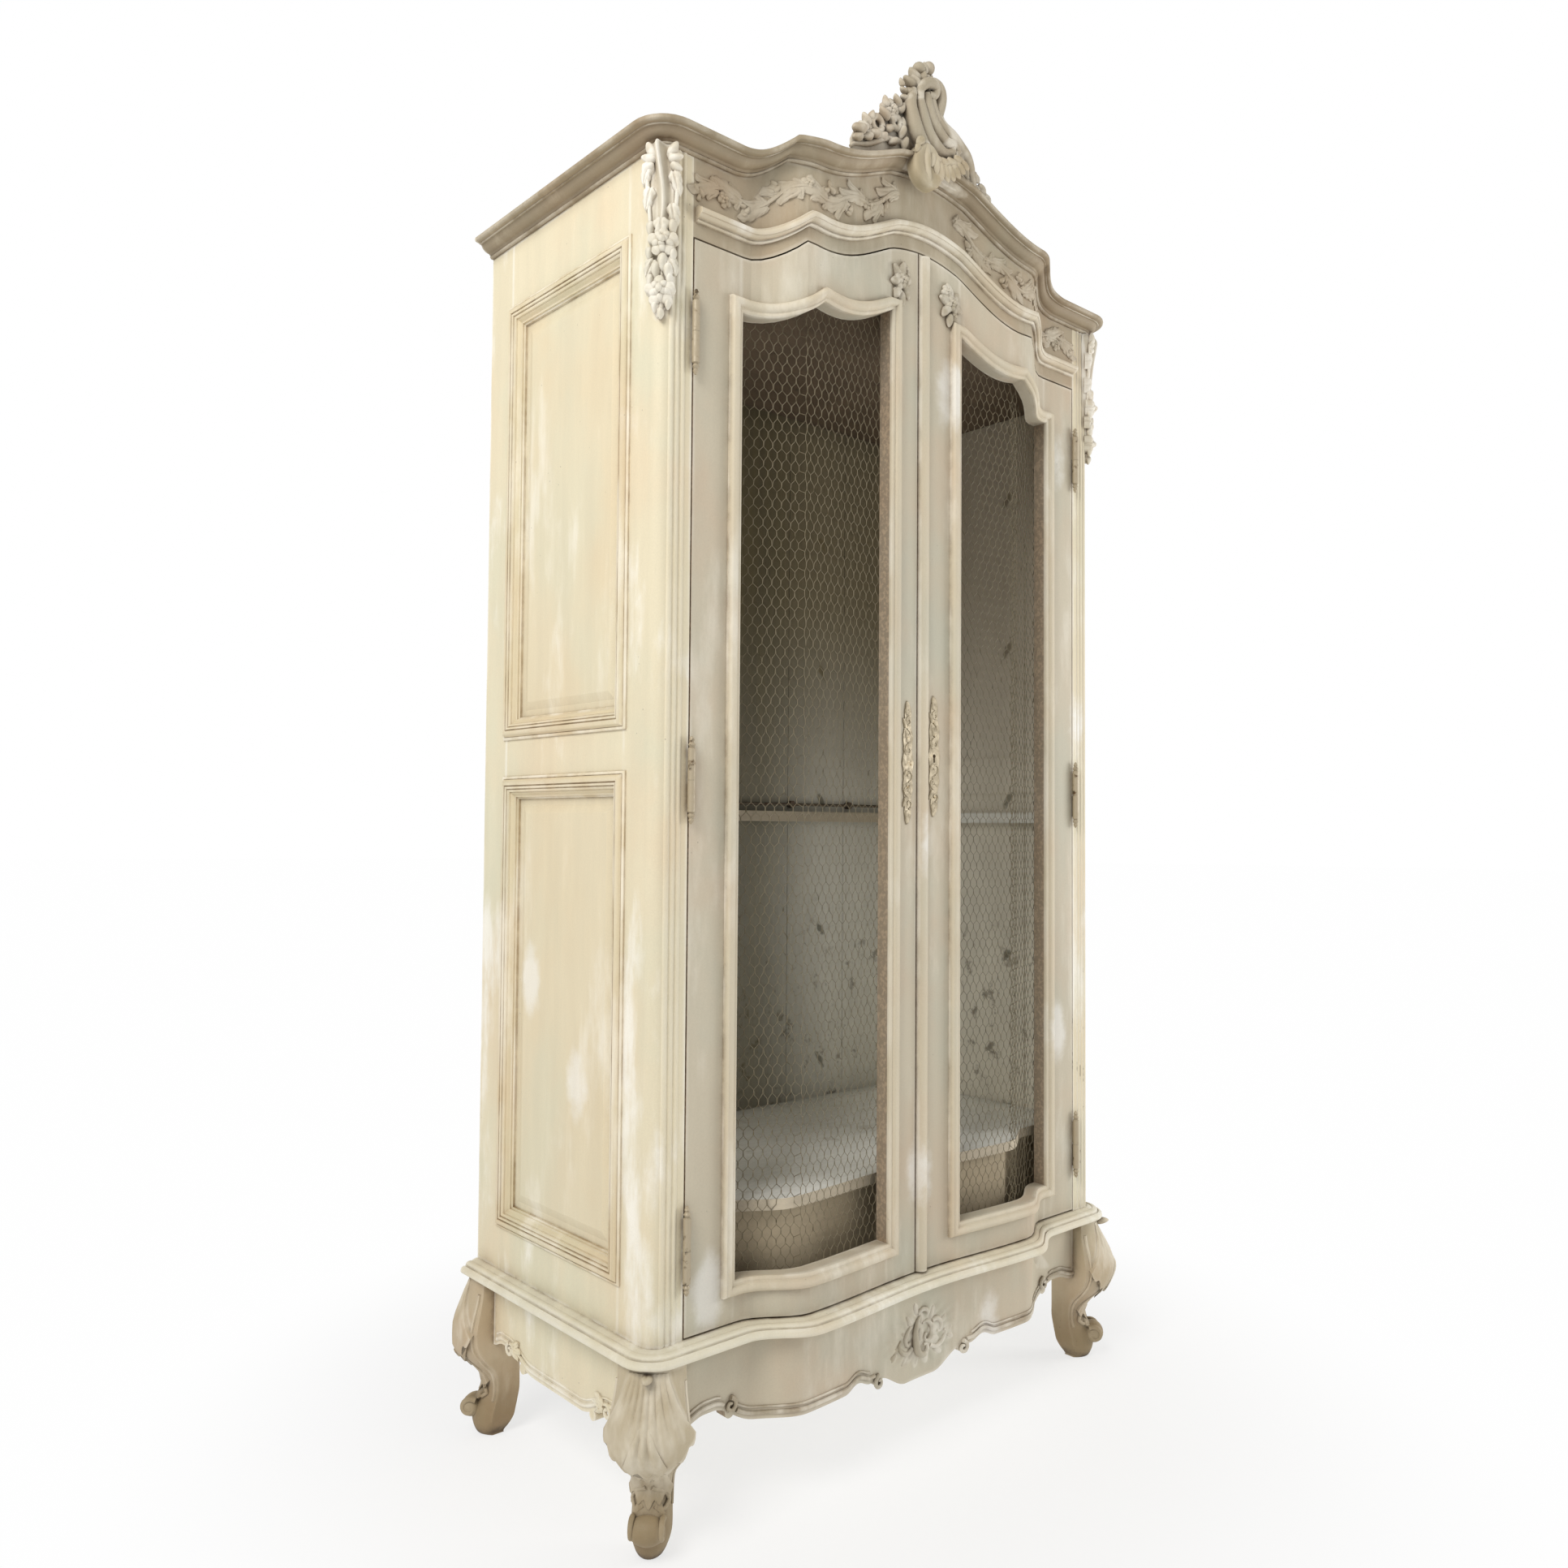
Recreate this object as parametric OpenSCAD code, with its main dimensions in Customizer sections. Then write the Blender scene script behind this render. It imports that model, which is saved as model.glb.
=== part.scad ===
// A painted two-door armoire with a bowed front, wire netting in the doors
// and cabriole legs. Millimetres. +Z is up and the front faces -Y.
// The origin lies on the floor, in the middle of the whole outline.

/* [Case] */
// Width of the case over its corner posts
case_w = 1106; // [960:2:1300]
// Depth of the case from the post faces to the back boards
case_d = 528; // [440:2:640]
// Height of the top of the case at its corners
case_top = 2114; // [1950:2:2250]
// Width of a corner post, seen from the front
post_w = 60; // [52:1:76]
// Depth of a front post, seen from the side
post_d = 85; // [70:1:110]
// Depth of a back post, seen from the side
back_post_d = 76; // [60:1:100]
// Rounding of the front corners
corner_r = 24; // [20:1:28]
// Thickness of rails, stiles and boards in the front and sides
frame_t = 24; // [20:1:30]
// Thickness of the back planks
back_t = 12; // [8:1:18]
// Number of back planks
back_planks = 6; // [4:1:9]

/* [Bowed front] */
// How far the front stands forward at its fullest
bow_out = 50; // [20:1:70]
// How far the front stands forward in the middle
bow_mid = 34; // [10:1:60]
// Distance of the flank of the bow from the middle
flank_x = 332; // [300:1:360]
// Width of that flank
flank_w = 110; // [80:1:140]

/* [Arched lines] */
// Height of the door tops in the middle
door_crown = 2101; // [2060:1:2110]
// Rise of the arch from its cusp to the middle
arch_rise = 73; // [40:1:90]
// Drop of the arch outside its cusp
arch_drop = 42; // [20:1:60]
// Depth of the hollow beside the cusp
arch_dip = 11; // [4:1:16]
// Width of the drop outside the cusp
shoulder_run = 95; // [60:1:120]
// Distance of the door cusps from the middle
door_cusp = 294.75; // [280:0.25:310]
// Distance of the cornice cusps from the middle
cornice_cusp = 327.5; // [315:0.25:340]
// Distance of the cusps of the netted openings from the middle
light_cusp = 262; // [250:0.25:275]
// Height of the netted opening at its cusp
light_cusp_z = 1937; // [1880:1:1945]
// Rise of the netted opening from its cusp to the middle
light_rise = 56; // [30:1:60]
// Height of the sill of the netted opening
light_sill = 373; // [350:1:420]

/* [Doors] */
// Gap round a door
door_gap = 3; // [2:0.5:4]
// Distance of the seam between the doors from the middle, to the left
seam_x = 16; // [8:0.5:20]
// Width of a hinge stile
hinge_stile_w = 94; // [80:1:100]
// Distance of the inner edge of a meeting stile from the middle
light_in = 92; // [80:1:110]
// Width of the moulding round the netted opening
light_mould_w = 24; // [18:1:28]
// Projection of that moulding
light_mould_p = 13; // [8:1:16]
// Thickness of the glue line under that moulding
glue = 0.06; // [0.05:0.01:0.1]
// Width of the half-round bead that hides the seam
bead_w = 24; // [18:1:26]
// How far that bead stands forward
bead_p = 10; // [6:1:13]

/* [Netting] */
// Cells across a netted opening in the wider rows
net_cols = 5; // [3:1:6]
// Rows of cells
net_rows = 25; // [12:1:26]
// Width of the netting wire
net_wire = 3; // [2:0.5:5]
// Thickness of the netting
net_t = 2; // [1:0.5:3]
// How far the netting runs behind the frame
net_lap = 12; // [6:1:20]
// Clearance between the netting and the back of the frame
net_fit = 0.5; // [0.3:0.1:0.8]

/* [Hinges and bolts] */
// Radius of a hinge barrel
barrel_r = 6; // [5:0.5:7]
// Length of each half of a hinge barrel
barrel_l = 46; // [30:1:60]
// Radius of a hinge pin
pin_r = 3; // [2:0.25:4]
// Running clearance of a hinge pin
pin_gap = 0.08; // [0.03:0.01:0.1]
// Height of the middle of the lowest hinge
hinge_low = 439; // [400:1:500]
// Height of the middle of the middle hinge
hinge_mid = 1146; // [1000:1:1250]
// Height of the middle of the highest hinge
hinge_high = 1837; // [1700:1:1850]
// How far the hinge pins stand in front of the posts
pin_out = 8; // [7.5:0.5:10]
// Opening angle of a door
door_open = 110; // [60:5:115]
// Radius of a surface bolt
bolt_r = 4; // [3:0.5:5]
// Travel of a surface bolt
bolt_throw = 14; // [8:1:18]
// Length of a surface bolt
bolt_l = 120; // [80:5:160]
// Height of the keyhole
key_z = 1204; // [1150:1:1300]
// Radius of the round part of the keyhole
key_r = 3.6; // [3:0.1:4.5]
// Travel of the lock bolt
lock_throw = 12; // [6:1:14]
// Height of the lock bolt
lock_bolt_h = 24; // [14:1:30]

/* [Base and legs] */
// Height of the underside of the base moulding
leg_h = 281; // [240:1:320]
// Height of the base moulding
base_h = 23; // [18:1:30]
// How far the base moulding stands out
base_out = 33; // [24:1:40]
// Thickness of the aprons
apron_t = 22; // [18:1:28]
// Height of the lowest straight part of the apron edge
apron_low = 149; // [120:1:180]
// Thickness of the leg over its flat inner sides, at the top
leg_flat = 56; // [48:1:60]
// How far the knee stands out on the diagonal
knee_out = 45; // [30:1:55]
// Half the width of the knee
knee_w = 60; // [45:1:64]
// Half the width of the ankle and foot
ankle_w = 31; // [24:1:36]
// Radius of the scroll of the foot
scroll_r = 23; // [16:1:26]

/* [Cornice and ornament] */
// Height of the cornice moulding
cornice_h = 32; // [24:1:44]
// How far the cornice stands out
cornice_out = 38; // [28:1:50]
// Height of the frieze moulding
frieze_mould_h = 24; // [16:1:30]
// Projection of the frieze moulding
frieze_mould_p = 18; // [10:1:22]
// Height of the tip of the crest
crest_top = 2442; // [2380:1:2480]
// Length of the carved corner brackets
corbel_l = 266; // [180:1:280]
// Width of the stem of those brackets
corbel_w = 42; // [34:1:48]
// Relief of the carving on the frieze
relief = 9; // [4:1:12]
// Length of an escutcheon plate
plate_l = 213; // [150:1:240]

/* [Inside] */
// Height of the floor of the cupboard
floor_z = 480; // [420:1:560]
// Thickness of the inner boards
board_t = 18; // [12:1:22]
// Height of the ceiling
ceiling_z = 1980; // [1880:1:1985]
// How far the riser lies behind the front edge of the floor
riser_back = 30; // [10:1:50]
// Height of the battens
batten_z = 1100; // [900:1:1200]
// Depth of the battens
batten_t = 14; // [8:1:20]
// Radius of the iron rod over the battens
rod_r = 3; // [2:0.5:5]

/* [Hidden] */
$fn = 48;

cream = [0.88, 0.84, 0.72];
beige = [0.80, 0.76, 0.66];
shade = [0.62, 0.56, 0.47];
iron = [0.35, 0.33, 0.29];
inner = [0.55, 0.54, 0.47];
brass = [0.62, 0.57, 0.44];

half_w = case_w / 2;
front_y = -(case_d - bow_out - cornice_out) / 2;
back_y = front_y + case_d;
base_z = leg_h + base_h;
door_z = base_z + door_gap;
post_in = half_w - post_w;
door_edge = post_in - door_gap;
light_out = door_edge - hinge_stile_w;
pin_x = post_in - door_gap / 2 + 0.5;
pin_y = front_y - pin_out;
hinges = [hinge_low, hinge_mid, hinge_high];
tiny = 0.01;

// The front is drawn through one set of stations, so all its pieces meet.
station = light_cusp / 16;
function stations(a, b) = concat([a],
  [for (k = [ceil(a / station):floor(b / station)])
    if (k * station > a + 0.5 && k * station < b - 0.5) k * station], [b]);

function ease(t) = (1 - cos(180 * max(0, min(1, t)))) / 2;
flank_in = flank_x - flank_w / 2;
// Plan line of the front, from the post faces: negative is forward.
function bow(x) = -bow_out * ease((flank_in + flank_w - abs(x)) / flank_w)
  + (bow_out - bow_mid) * ease((flank_in - abs(x)) / flank_in);
// One arched line: hollow shoulder, cusp, shallow dip and rounded middle.
function arch(x, cusp, rise) = abs(x) > cusp
  ? -arch_drop * (1 - pow(1 - min(1, (abs(x) - cusp) / shoulder_run), 2))
  : rise * ease((cusp - abs(x)) / cusp)
    - arch_dip * sin(min(180, 180 * (cusp - abs(x)) / cusp / 0.7));
function door_top(x) = door_crown - arch_rise + arch(x, door_cusp, arch_rise);
function light_top(x) = light_cusp_z + arch(x, light_cusp, light_rise);
function cornice_z(x) = case_top + arch_drop + arch(x, cornice_cusp, arch_rise);
// Lower edge of the front apron.
function apron_z(x) = let(t = abs(x)) apron_low + 31 * ease((t - 355) / 75)
  - 12 * ease((t - 445) / 50) + 10 * ease(1 - abs(t - 160) / 32) - 28 * ease((104 - t) / 70);
// Lower edge of a side apron, from its middle.
side_half = case_d / 2 - leg_flat;
function side_apron_z(t) = apron_low + 4 + 24 * ease((abs(t) - side_half * 0.35) / (side_half * 0.4))
  - 10 * ease((abs(t) - side_half * 0.85) / (side_half * 0.15));

// Joins rings of points into one closed solid.
module skin(rings, loop = false) {
  n = len(rings[0]);
  m = len(rings);
  sides = [for (i = [0:m - (loop ? 1 : 2)]) for (j = [0:n - 1])
    let(k = (i + 1) % m, l = (j + 1) % n)
    each [[i * n + j, i * n + l, k * n + l], [i * n + j, k * n + l, k * n + j]]];
  ends = loop ? [] : [[for (j = [n - 1:-1:0]) j], [for (j = [0:n - 1]) (m - 1) * n + j]];
  polyhedron([for (r = rings) each r], concat(sides, ends), convexity = 8);
}

// A slab that follows the bow between two plan lines, set back from the face.
module bowed(a, b, back, t, z0, z1) {
  xs = stations(a, b);
  n = len(xs) - 1;
  translate([0, front_y, z0])
    linear_extrude(z1 - z0)
      polygon(concat([for (x = xs) [x, bow(x) + back]],
        [for (i = [n:-1:0]) [xs[i], bow(xs[i]) + back + t]]));
}

// Cuts a bowed slab to an outline drawn in elevation.
module faced(a, b, back, t, z0, z1, low, high) {
  n = len(low) - 1;
  intersection() {
    bowed(a, b, back, t, z0, z1);
    translate([0, front_y + 120, 0])
      rotate([90, 0, 0])
        linear_extrude(320)
          polygon(concat(low, [for (i = [len(high) - 1:-1:0]) high[i]]));
  }
}

module on_left() {
  mirror([1, 0, 0]) children();
}

// Front posts: rounded corner and three reeds beside the door.
module post_outline() {
  reed_r = post_w * 0.09;
  union() {
    difference() {
      translate([post_in, 0]) square([post_w, post_d]);
      translate([half_w - corner_r, -tiny]) square([corner_r + 1, corner_r + tiny]);
    }
    intersection() {
      translate([half_w - corner_r, corner_r]) circle(corner_r);
      translate([half_w - corner_r, 0]) square(corner_r);
    }
    for (k = [0:2])
      translate([post_in + 12 + reed_r + k * reed_r * 2, reed_r - 2]) circle(reed_r);
  }
}
module front_post() {
  color(cream)
    translate([0, front_y, base_z])
      linear_extrude(case_top - base_z) post_outline();
}
module front_post_left() { on_left() front_post(); }
module front_post_right() { front_post(); }

module back_post() {
  color(cream)
    translate([half_w - post_w * 0.75, back_y - back_post_d, base_z])
      cube([post_w * 0.75, back_post_d, case_top - base_z]);
}
module back_post_left() { on_left() back_post(); }
module back_post_right() { back_post(); }

// Sides: three rails, two raised panels and their mouldings.
panel_top = case_top - 120;
panel_mid_high = 1232;
panel_mid_low = 1154;
panel_low = base_z + 80;
side_y0 = front_y + post_d;
side_y1 = back_y - back_post_d;
panels = [[panel_low, panel_mid_low], [panel_mid_high, panel_top]];

module side_rails() {
  color(cream)
    for (z = [[base_z, panel_low], [panel_mid_low, panel_mid_high], [panel_top, case_top]])
      translate([half_w - frame_t, side_y0, z[0]])
        cube([frame_t, side_y1 - side_y0, z[1] - z[0]]);
}
module side_rails_left() { on_left() side_rails(); }
module side_rails_right() { side_rails(); }

panel_rim = 44;
module side_panels() {
  color(cream)
    for (z = panels) {
      face = half_w - 8;
      skin([for (s = [[0, half_w - 20], [0, half_w - 12], [panel_rim, half_w - 12],
          [panel_rim + 14, face]])
        [[s[1], side_y0 + s[0], z[0] + s[0]], [s[1], side_y0 + s[0], z[1] - s[0]],
          [s[1], side_y1 - s[0], z[1] - s[0]], [s[1], side_y1 - s[0], z[0] + s[0]]]]);
    }
}
module side_panels_left() { on_left() side_panels(); }
module side_panels_right() { side_panels(); }

// Bolection moulding: distance in from the rail edge, height over the face.
bolection = [[-6, 0], [-6, 3], [0, 7], [8, 9], [16, 7], [22, 1], [28, -3], [32, -8],
  [32, -12], [tiny, -12], [tiny, 0]];
module side_mouldings() {
  color(cream)
    for (z = panels)
      skin([for (c = [[0, 0], [1, 0], [1, 1], [0, 1]])
        [for (p = bolection) [half_w + p[1],
          c[0] == 0 ? side_y0 + p[0] : side_y1 - p[0],
          c[1] == 0 ? z[0] + p[0] : z[1] - p[0]]]], loop = true);
}
module side_mouldings_left() { on_left() side_mouldings(); }
module side_mouldings_right() { side_mouldings(); }

// Back: upright planks between the back posts.
module back_planks() {
  w = (case_w - post_w * 1.5) / back_planks;
  color(inner)
    for (k = [0:back_planks - 1])
      translate([-half_w + post_w * 0.75 + k * w, back_y - back_t, base_z])
        difference() {
          cube([w, back_t, case_top - base_z]);
          translate([-1, back_t - 3, -1]) cube([3, 4, case_top]);
          translate([-1, -1, -1]) cube([2.5, 3, case_top]);
        }
}

inner_x = half_w - frame_t;
inner_back = back_y - back_t;
module inner_battens() {
  color(inner) {
    translate([-half_w + post_w * 0.75, inner_back - batten_t, batten_z - 11])
      cube([case_w - post_w * 1.5, batten_t, 22]);
    for (s = [-1, 1])
      translate([s > 0 ? inner_x - batten_t : -inner_x, side_y0, batten_z - 11])
        cube([batten_t, side_y1 - side_y0, 22]);
  }
}

// A thin rod in round eyes over the back batten.
rod_z = batten_z + 26;
module iron_rod() {
  color(iron) {
    translate([-inner_x + 60, inner_back - 9, rod_z])
      rotate([0, 90, 0]) cylinder(r = rod_r, h = 2 * inner_x - 120);
    for (x = [-0.66, -0.33, 0, 0.33, 0.66])
      translate([x * inner_x, inner_back - 12, rod_z])
        rotate([-90, 0, 0]) cylinder(r = 8, h = 12);
  }
}

// Inner boards. The floor and ceiling follow the bow behind the doors.
inner_front = frame_t + 16;
head_front = frame_t + 4;
head_t = 18;
module inner_plate(z, t, back, reach) {
  xs = stations(-post_in, post_in);
  color(inner)
    translate([0, 0, z])
      linear_extrude(t)
        polygon(concat([for (x = xs) [x, front_y + bow(x) + back]],
          [[post_in, side_y0], [inner_x, side_y0], [inner_x, side_y1],
            [half_w - post_w * 0.75, side_y1], [half_w - post_w * 0.75, reach],
            [-half_w + post_w * 0.75, reach], [-half_w + post_w * 0.75, side_y1],
            [-inner_x, side_y1], [-inner_x, side_y0], [-post_in, side_y0]]));
}
module floor_board() { inner_plate(floor_z - board_t, board_t, inner_front, inner_back); }
module ceiling_board() { inner_plate(ceiling_z, board_t, inner_front, inner_back); }
module riser_board() {
  color(inner)
    bowed(-post_in, post_in, inner_front + riser_back, 14, base_z, floor_z - board_t);
}
// Rail behind the frieze, against which the doors close.
module head_rail() {
  xs = stations(-post_in, post_in);
  color(inner)
    faced(-post_in, post_in, head_front, head_t, ceiling_z + board_t, case_top + 300,
      [for (x = xs) [x, ceiling_z + board_t]], [for (x = xs) [x, cornice_z(x)]]);
}
module top_board() {
  xs = stations(-post_in, post_in);
  back = head_front + head_t;
  color(inner)
    translate([0, 0, case_top])
      linear_extrude(14)
        polygon(concat([for (x = xs) [x, front_y + bow(x) + back]],
          [[half_w - 20, front_y + back], [half_w - 20, back_y], [-half_w + 20, back_y],
            [-half_w + 20, front_y + back]]));
}
module bottom_board() {
  xs = stations(-post_in, post_in);
  color(inner)
    difference() {
      translate([0, 0, leg_h + 3])
        linear_extrude(base_h - 3)
          polygon(concat([for (x = xs) [x, front_y + bow(x) + 20]],
            [[half_w - corner_r, front_y + 20], [half_w - corner_r, front_y + corner_r],
              [half_w - 20, front_y + corner_r], [half_w - 20, back_y],
              [-half_w + 20, back_y], [-half_w + 20, front_y + corner_r],
              [-half_w + corner_r, front_y + corner_r], [-half_w + corner_r, front_y + 20]]));
      translate([bolt_x, bolt_y, leg_h]) cylinder(r = bolt_r + 1, h = base_h + 10);
    }
}

// Mouldings that run along both sides and round the front.
function run_round(prof, line, z) = concat(
  [[for (p = prof) [-half_w - p[0], back_y, z + p[1]]]],
  [for (a = [0:22.5:90]) [for (p = prof) [-half_w + corner_r - (corner_r + p[0]) * cos(a),
    front_y + corner_r - (corner_r + p[0]) * sin(a), z + p[1]]]],
  [for (x = line) [for (p = prof) [x[0], front_y + bow(x[0]) - p[0], x[1] + p[1]]]],
  [for (a = [90:-22.5:0]) [for (p = prof) [half_w - corner_r + (corner_r + p[0]) * cos(a),
    front_y + corner_r - (corner_r + p[0]) * sin(a), z + p[1]]]],
  [[for (p = prof) [half_w + p[0], back_y, z + p[1]]]]);

co = cornice_out;
ch = cornice_h;
cornice_profile = [[-20, 0], [3, 0], [6, ch * 0.1], [co * 0.32, ch * 0.2], [co * 0.55, ch * 0.38],
  [co * 0.8, ch * 0.6], [co * 0.86, ch * 0.64], [co, ch * 0.7], [co, ch * 0.95],
  [co * 0.9, ch], [-20, ch]];
module cornice() {
  xs = stations(-post_in, post_in);
  color(shade)
    skin(run_round(cornice_profile, [for (x = xs) [x, cornice_z(x)]], case_top));
}

bo = base_out;
bh = base_h;
base_profile = [[-20, 0], [bo * 0.82, 0], [bo * 0.96, bh * 0.16], [bo, bh * 0.36],
  [bo * 0.94, bh * 0.56], [bo * 0.78, bh * 0.7], [bo * 0.6, bh * 0.76], [bo * 0.3, bh * 0.94],
  [2, bh], [-20, bh]];
module base_moulding() {
  xs = stations(-post_in, post_in);
  color(cream)
    skin(run_round(base_profile, [for (x = xs) [x, leg_h]], leg_h));
}

// Frieze board, its lower moulding and its carved garland.
frieze_gap = door_gap + 23;
module frieze_board() {
  xs = stations(-post_in, post_in);
  color(beige)
    faced(-post_in, post_in, 0, frame_t, case_top - 200, case_top + 300,
      [for (x = xs) [x, door_top(x) + door_gap]], [for (x = xs) [x, cornice_z(x)]]);
}

fp = frieze_mould_p;
fh = frieze_mould_h;
frieze_profile = [[0, 0], [fp * 0.45, 0], [fp * 0.6, fh * 0.25], [fp * 0.8, fh * 0.5],
  [fp, fh * 0.68], [fp * 0.92, fh * 0.88], [fp * 0.5, fh], [0, fh]];
module frieze_moulding() {
  color(beige)
    skin([for (x = stations(-post_in + 4, post_in - 4)) [for (p = frieze_profile)
      [x, front_y + bow(x) - p[0], door_top(x) + frieze_gap + p[1]]]]);
}

// Middle line of the garland: it waves between the mouldings.
function garland_z(x) = (door_top(x) + frieze_gap + frieze_mould_h + cornice_z(x)) / 2
  + 7 * sin(x * 2.4);

// Outlines for carving: a pointed leaf, a five-lobed flower and a C-scroll.
module leaf(l, w) {
  r = (l * l / 4 + w * w / 4) / w;
  intersection() {
    translate([l / 2, r - w / 2]) circle(r);
    translate([l / 2, w / 2 - r]) circle(r);
  }
}
module flower(r) {
  circle(r * 0.6);
  for (k = [0:4])
    rotate(72 * k + 18)
      translate([r * 0.56, 0]) circle(r * 0.44);
}
module crescent(r, t) {
  difference() {
    circle(r);
    translate([t, 0]) circle(r - t * 0.55);
  }
}

// A raised piece between two heights over the bowed face, cut to an outline.
module carved(a, b, p0, p1, z0, z1) {
  intersection() {
    bowed(a, b, -p1, p1 - p0, z0, z1);
    translate([0, front_y + 40, 0])
      rotate([90, 0, 0])
        linear_extrude(180) children();
  }
}
flowers = [92, 176, 258, 340, 430];
module garland(centres) {
  xs = stations(-post_in + 6, post_in - 6);
  intersection() {
    polygon(concat([for (x = xs) [x, door_top(x) + frieze_gap + frieze_mould_h + 1]],
      [for (i = [len(xs) - 1:-1:0]) [xs[i], cornice_z(xs[i]) - 1]]));
    for (s = [-1, 1])
      for (x = flowers)
        translate([s * x, garland_z(s * x)]) {
          if (centres) circle(7);
          if (!centres) {
            flower(x > 400 ? 17 : 20);
            for (a = [-34, 34, 146, 214])
              rotate(a) translate([8, 0]) leaf(38, 13);
          }
        }
    for (s = [-1, 1])
      translate([s > 0 ? drop_x + drop_r : drop_x - drop_r - post_in, case_top - 200])
        square([post_in, 500]);
  }
}
module frieze_carving() {
  color(beige)
    union() {
      carved(-post_in + 6, post_in - 6, 0, relief * 0.7, case_top - 120, case_top + 160)
        garland(false);
      carved(-post_in + 6, post_in - 6, 0, relief, case_top - 120, case_top + 160)
        garland(true);
    }
}

// Crest: a tall fluted plume with roses to the left, leaves to the right and a
// smooth drop before the cornice. X and height are from the top of the cornice.
crest_y = front_y - bow_mid - cornice_out;
crest_z = case_top + arch_drop + arch_rise + cornice_h;
crest_t = 26;
drop_x = -34;
drop_r = 38;
drop_y = front_y + bow(drop_x - drop_r) - cornice_out - 0.3;
function over(x) = cornice_z(x) + cornice_h - crest_z;
function ahead(p, i) = let(d = p[min(i + 1, len(p) - 1)] - p[max(i - 1, 0)]) d / norm(d);
// The plume reaches up to its tip, so its heights are shares of the whole.
function risen(p) = [for (q = p) [q[0], q[1] * (crest_top - crest_z) / 181]];
module band(q, w, short) {
  n = len(q) - 1;
  p = [for (i = [0:n]) q[i] + ahead(q, i) * (i == 0 ? short : i == n ? -short : 0)];
  side = [for (i = [0:n]) let(d = ahead(p, i)) [-d[1], d[0]] * w / 2 * (i == 0 || i == n ? 0.4 : 1)];
  polygon(concat([for (i = [0:n]) p[i] + side[i]], [for (i = [n:-1:0]) p[i] - side[i]]));
}
plume = [[-80, -28], [-82, 27], [-68, 69], [-54, 101], [-46, 128], [-38, 150], [-30, 174],
  [-14, 181], [4, 174], [8, 158], [16, 140], [20, 121], [14, 100], [14, 85], [34, 74], [60, 60],
  [80, 42], [98, 19], [114, -2], [122, -27]];
flutes = [[[-36, 128], [-46, 92], [-52, 52], [-40, 18], [-12, -4], [20, -8]],
  [[-20, 126], [-32, 90], [-33, 54], [-20, 26], [6, 8], [36, 6]],
  [[-4, 124], [-14, 90], [-14, 60], [2, 37], [26, 24], [52, 22]],
  [[10, 122], [4, 92], [8, 70], [26, 53], [48, 43], [70, 31]]];
roses = [[-101, 65, 25], [-151, 19, 24], [-124, 37, 19], [-84, 90, 18], [-116, 7, 18], [-186, -16, 15]];
module crest_layer(k) {
  if (k == 0) {
    polygon(risen(plume));
    polygon([[-60, -20], [-198, -62], [-204, -36], [-160, 24], [-112, 74], [-84, 96], [-60, 88]]);
  }
  if (k == 1)
    for (f = flutes) band(risen(f), 15, 0);
  if (k == 2)
    for (f = flutes) band(risen(f), 8, 4);
  for (r = roses)
    translate([r[0], r[1]]) {
      if (k == 0) flower(r[2]);
      if (k == 1) circle(r[2] * 0.58);
      if (k == 2) circle(r[2] * 0.3);
    }
  for (x = [88, 116, 144])
    translate([x, over(x) + 16]) {
      if (k == 0) rotate(-24 - x * 0.1) translate([-12, 0]) leaf(60 - x * 0.12, 24);
      if (k == 1) rotate(-24 - x * 0.1) leaf(36, 9);
    }
  if (k == 0) {
    xs = stations(-196, 172);
    polygon(concat([for (x = xs) [x, over(x) - 20]],
      [for (i = [len(xs) - 1:-1:0]) [xs[i], over(xs[i]) + 12]]));
  }
  if (k == 3) translate([drop_x, -27]) circle(drop_r);
}
module crest() {
  reach = 230;
  xs = stations(-reach, reach);
  color(beige)
    union() {
      intersection() {
        translate([0, crest_y + crest_t + 4, crest_z])
          rotate([90, 0, 0])
            union() {
              linear_extrude(crest_t - 10) crest_layer(0);
              linear_extrude(crest_t - 4) crest_layer(1);
              linear_extrude(crest_t + 2) crest_layer(2);
              linear_extrude(crest_y + crest_t + 4 - drop_y + tiny) crest_layer(3);
            }
        translate([0, crest_y + 100, 0])
          rotate([90, 0, 0])
            linear_extrude(200)
              polygon(concat([for (x = xs) [x, cornice_z(x) + cornice_h]],
                [[reach, crest_top + 9], [-reach, crest_top + 9]]));
      }
      translate([drop_x, drop_y, crest_z - 27])
        rotate([90, 0, 0])
          union() {
            linear_extrude(8) {
              circle(drop_r);
              translate([8, 0])
                for (a = [-74, -44, -14, 16])
                  rotate(a) translate([16, 0]) leaf(44, 22);
            }
            linear_extrude(13)
              difference() {
                circle(drop_r - 2);
                translate([-2, 2]) circle(drop_r - 10);
              }
          }
      intersection() {
        translate([drop_x, front_y - bow_mid - 2, crest_z])
          rotate([90, 0, 0])
            linear_extrude(cornice_out + 3)
              translate([0, -42]) circle(22);
        translate([drop_x - 60, crest_y - 10, crest_z - 100])
          cube([120, 100, cornice_z(drop_x - 22) - 1 - crest_z + 100]);
      }
    }
}

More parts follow.
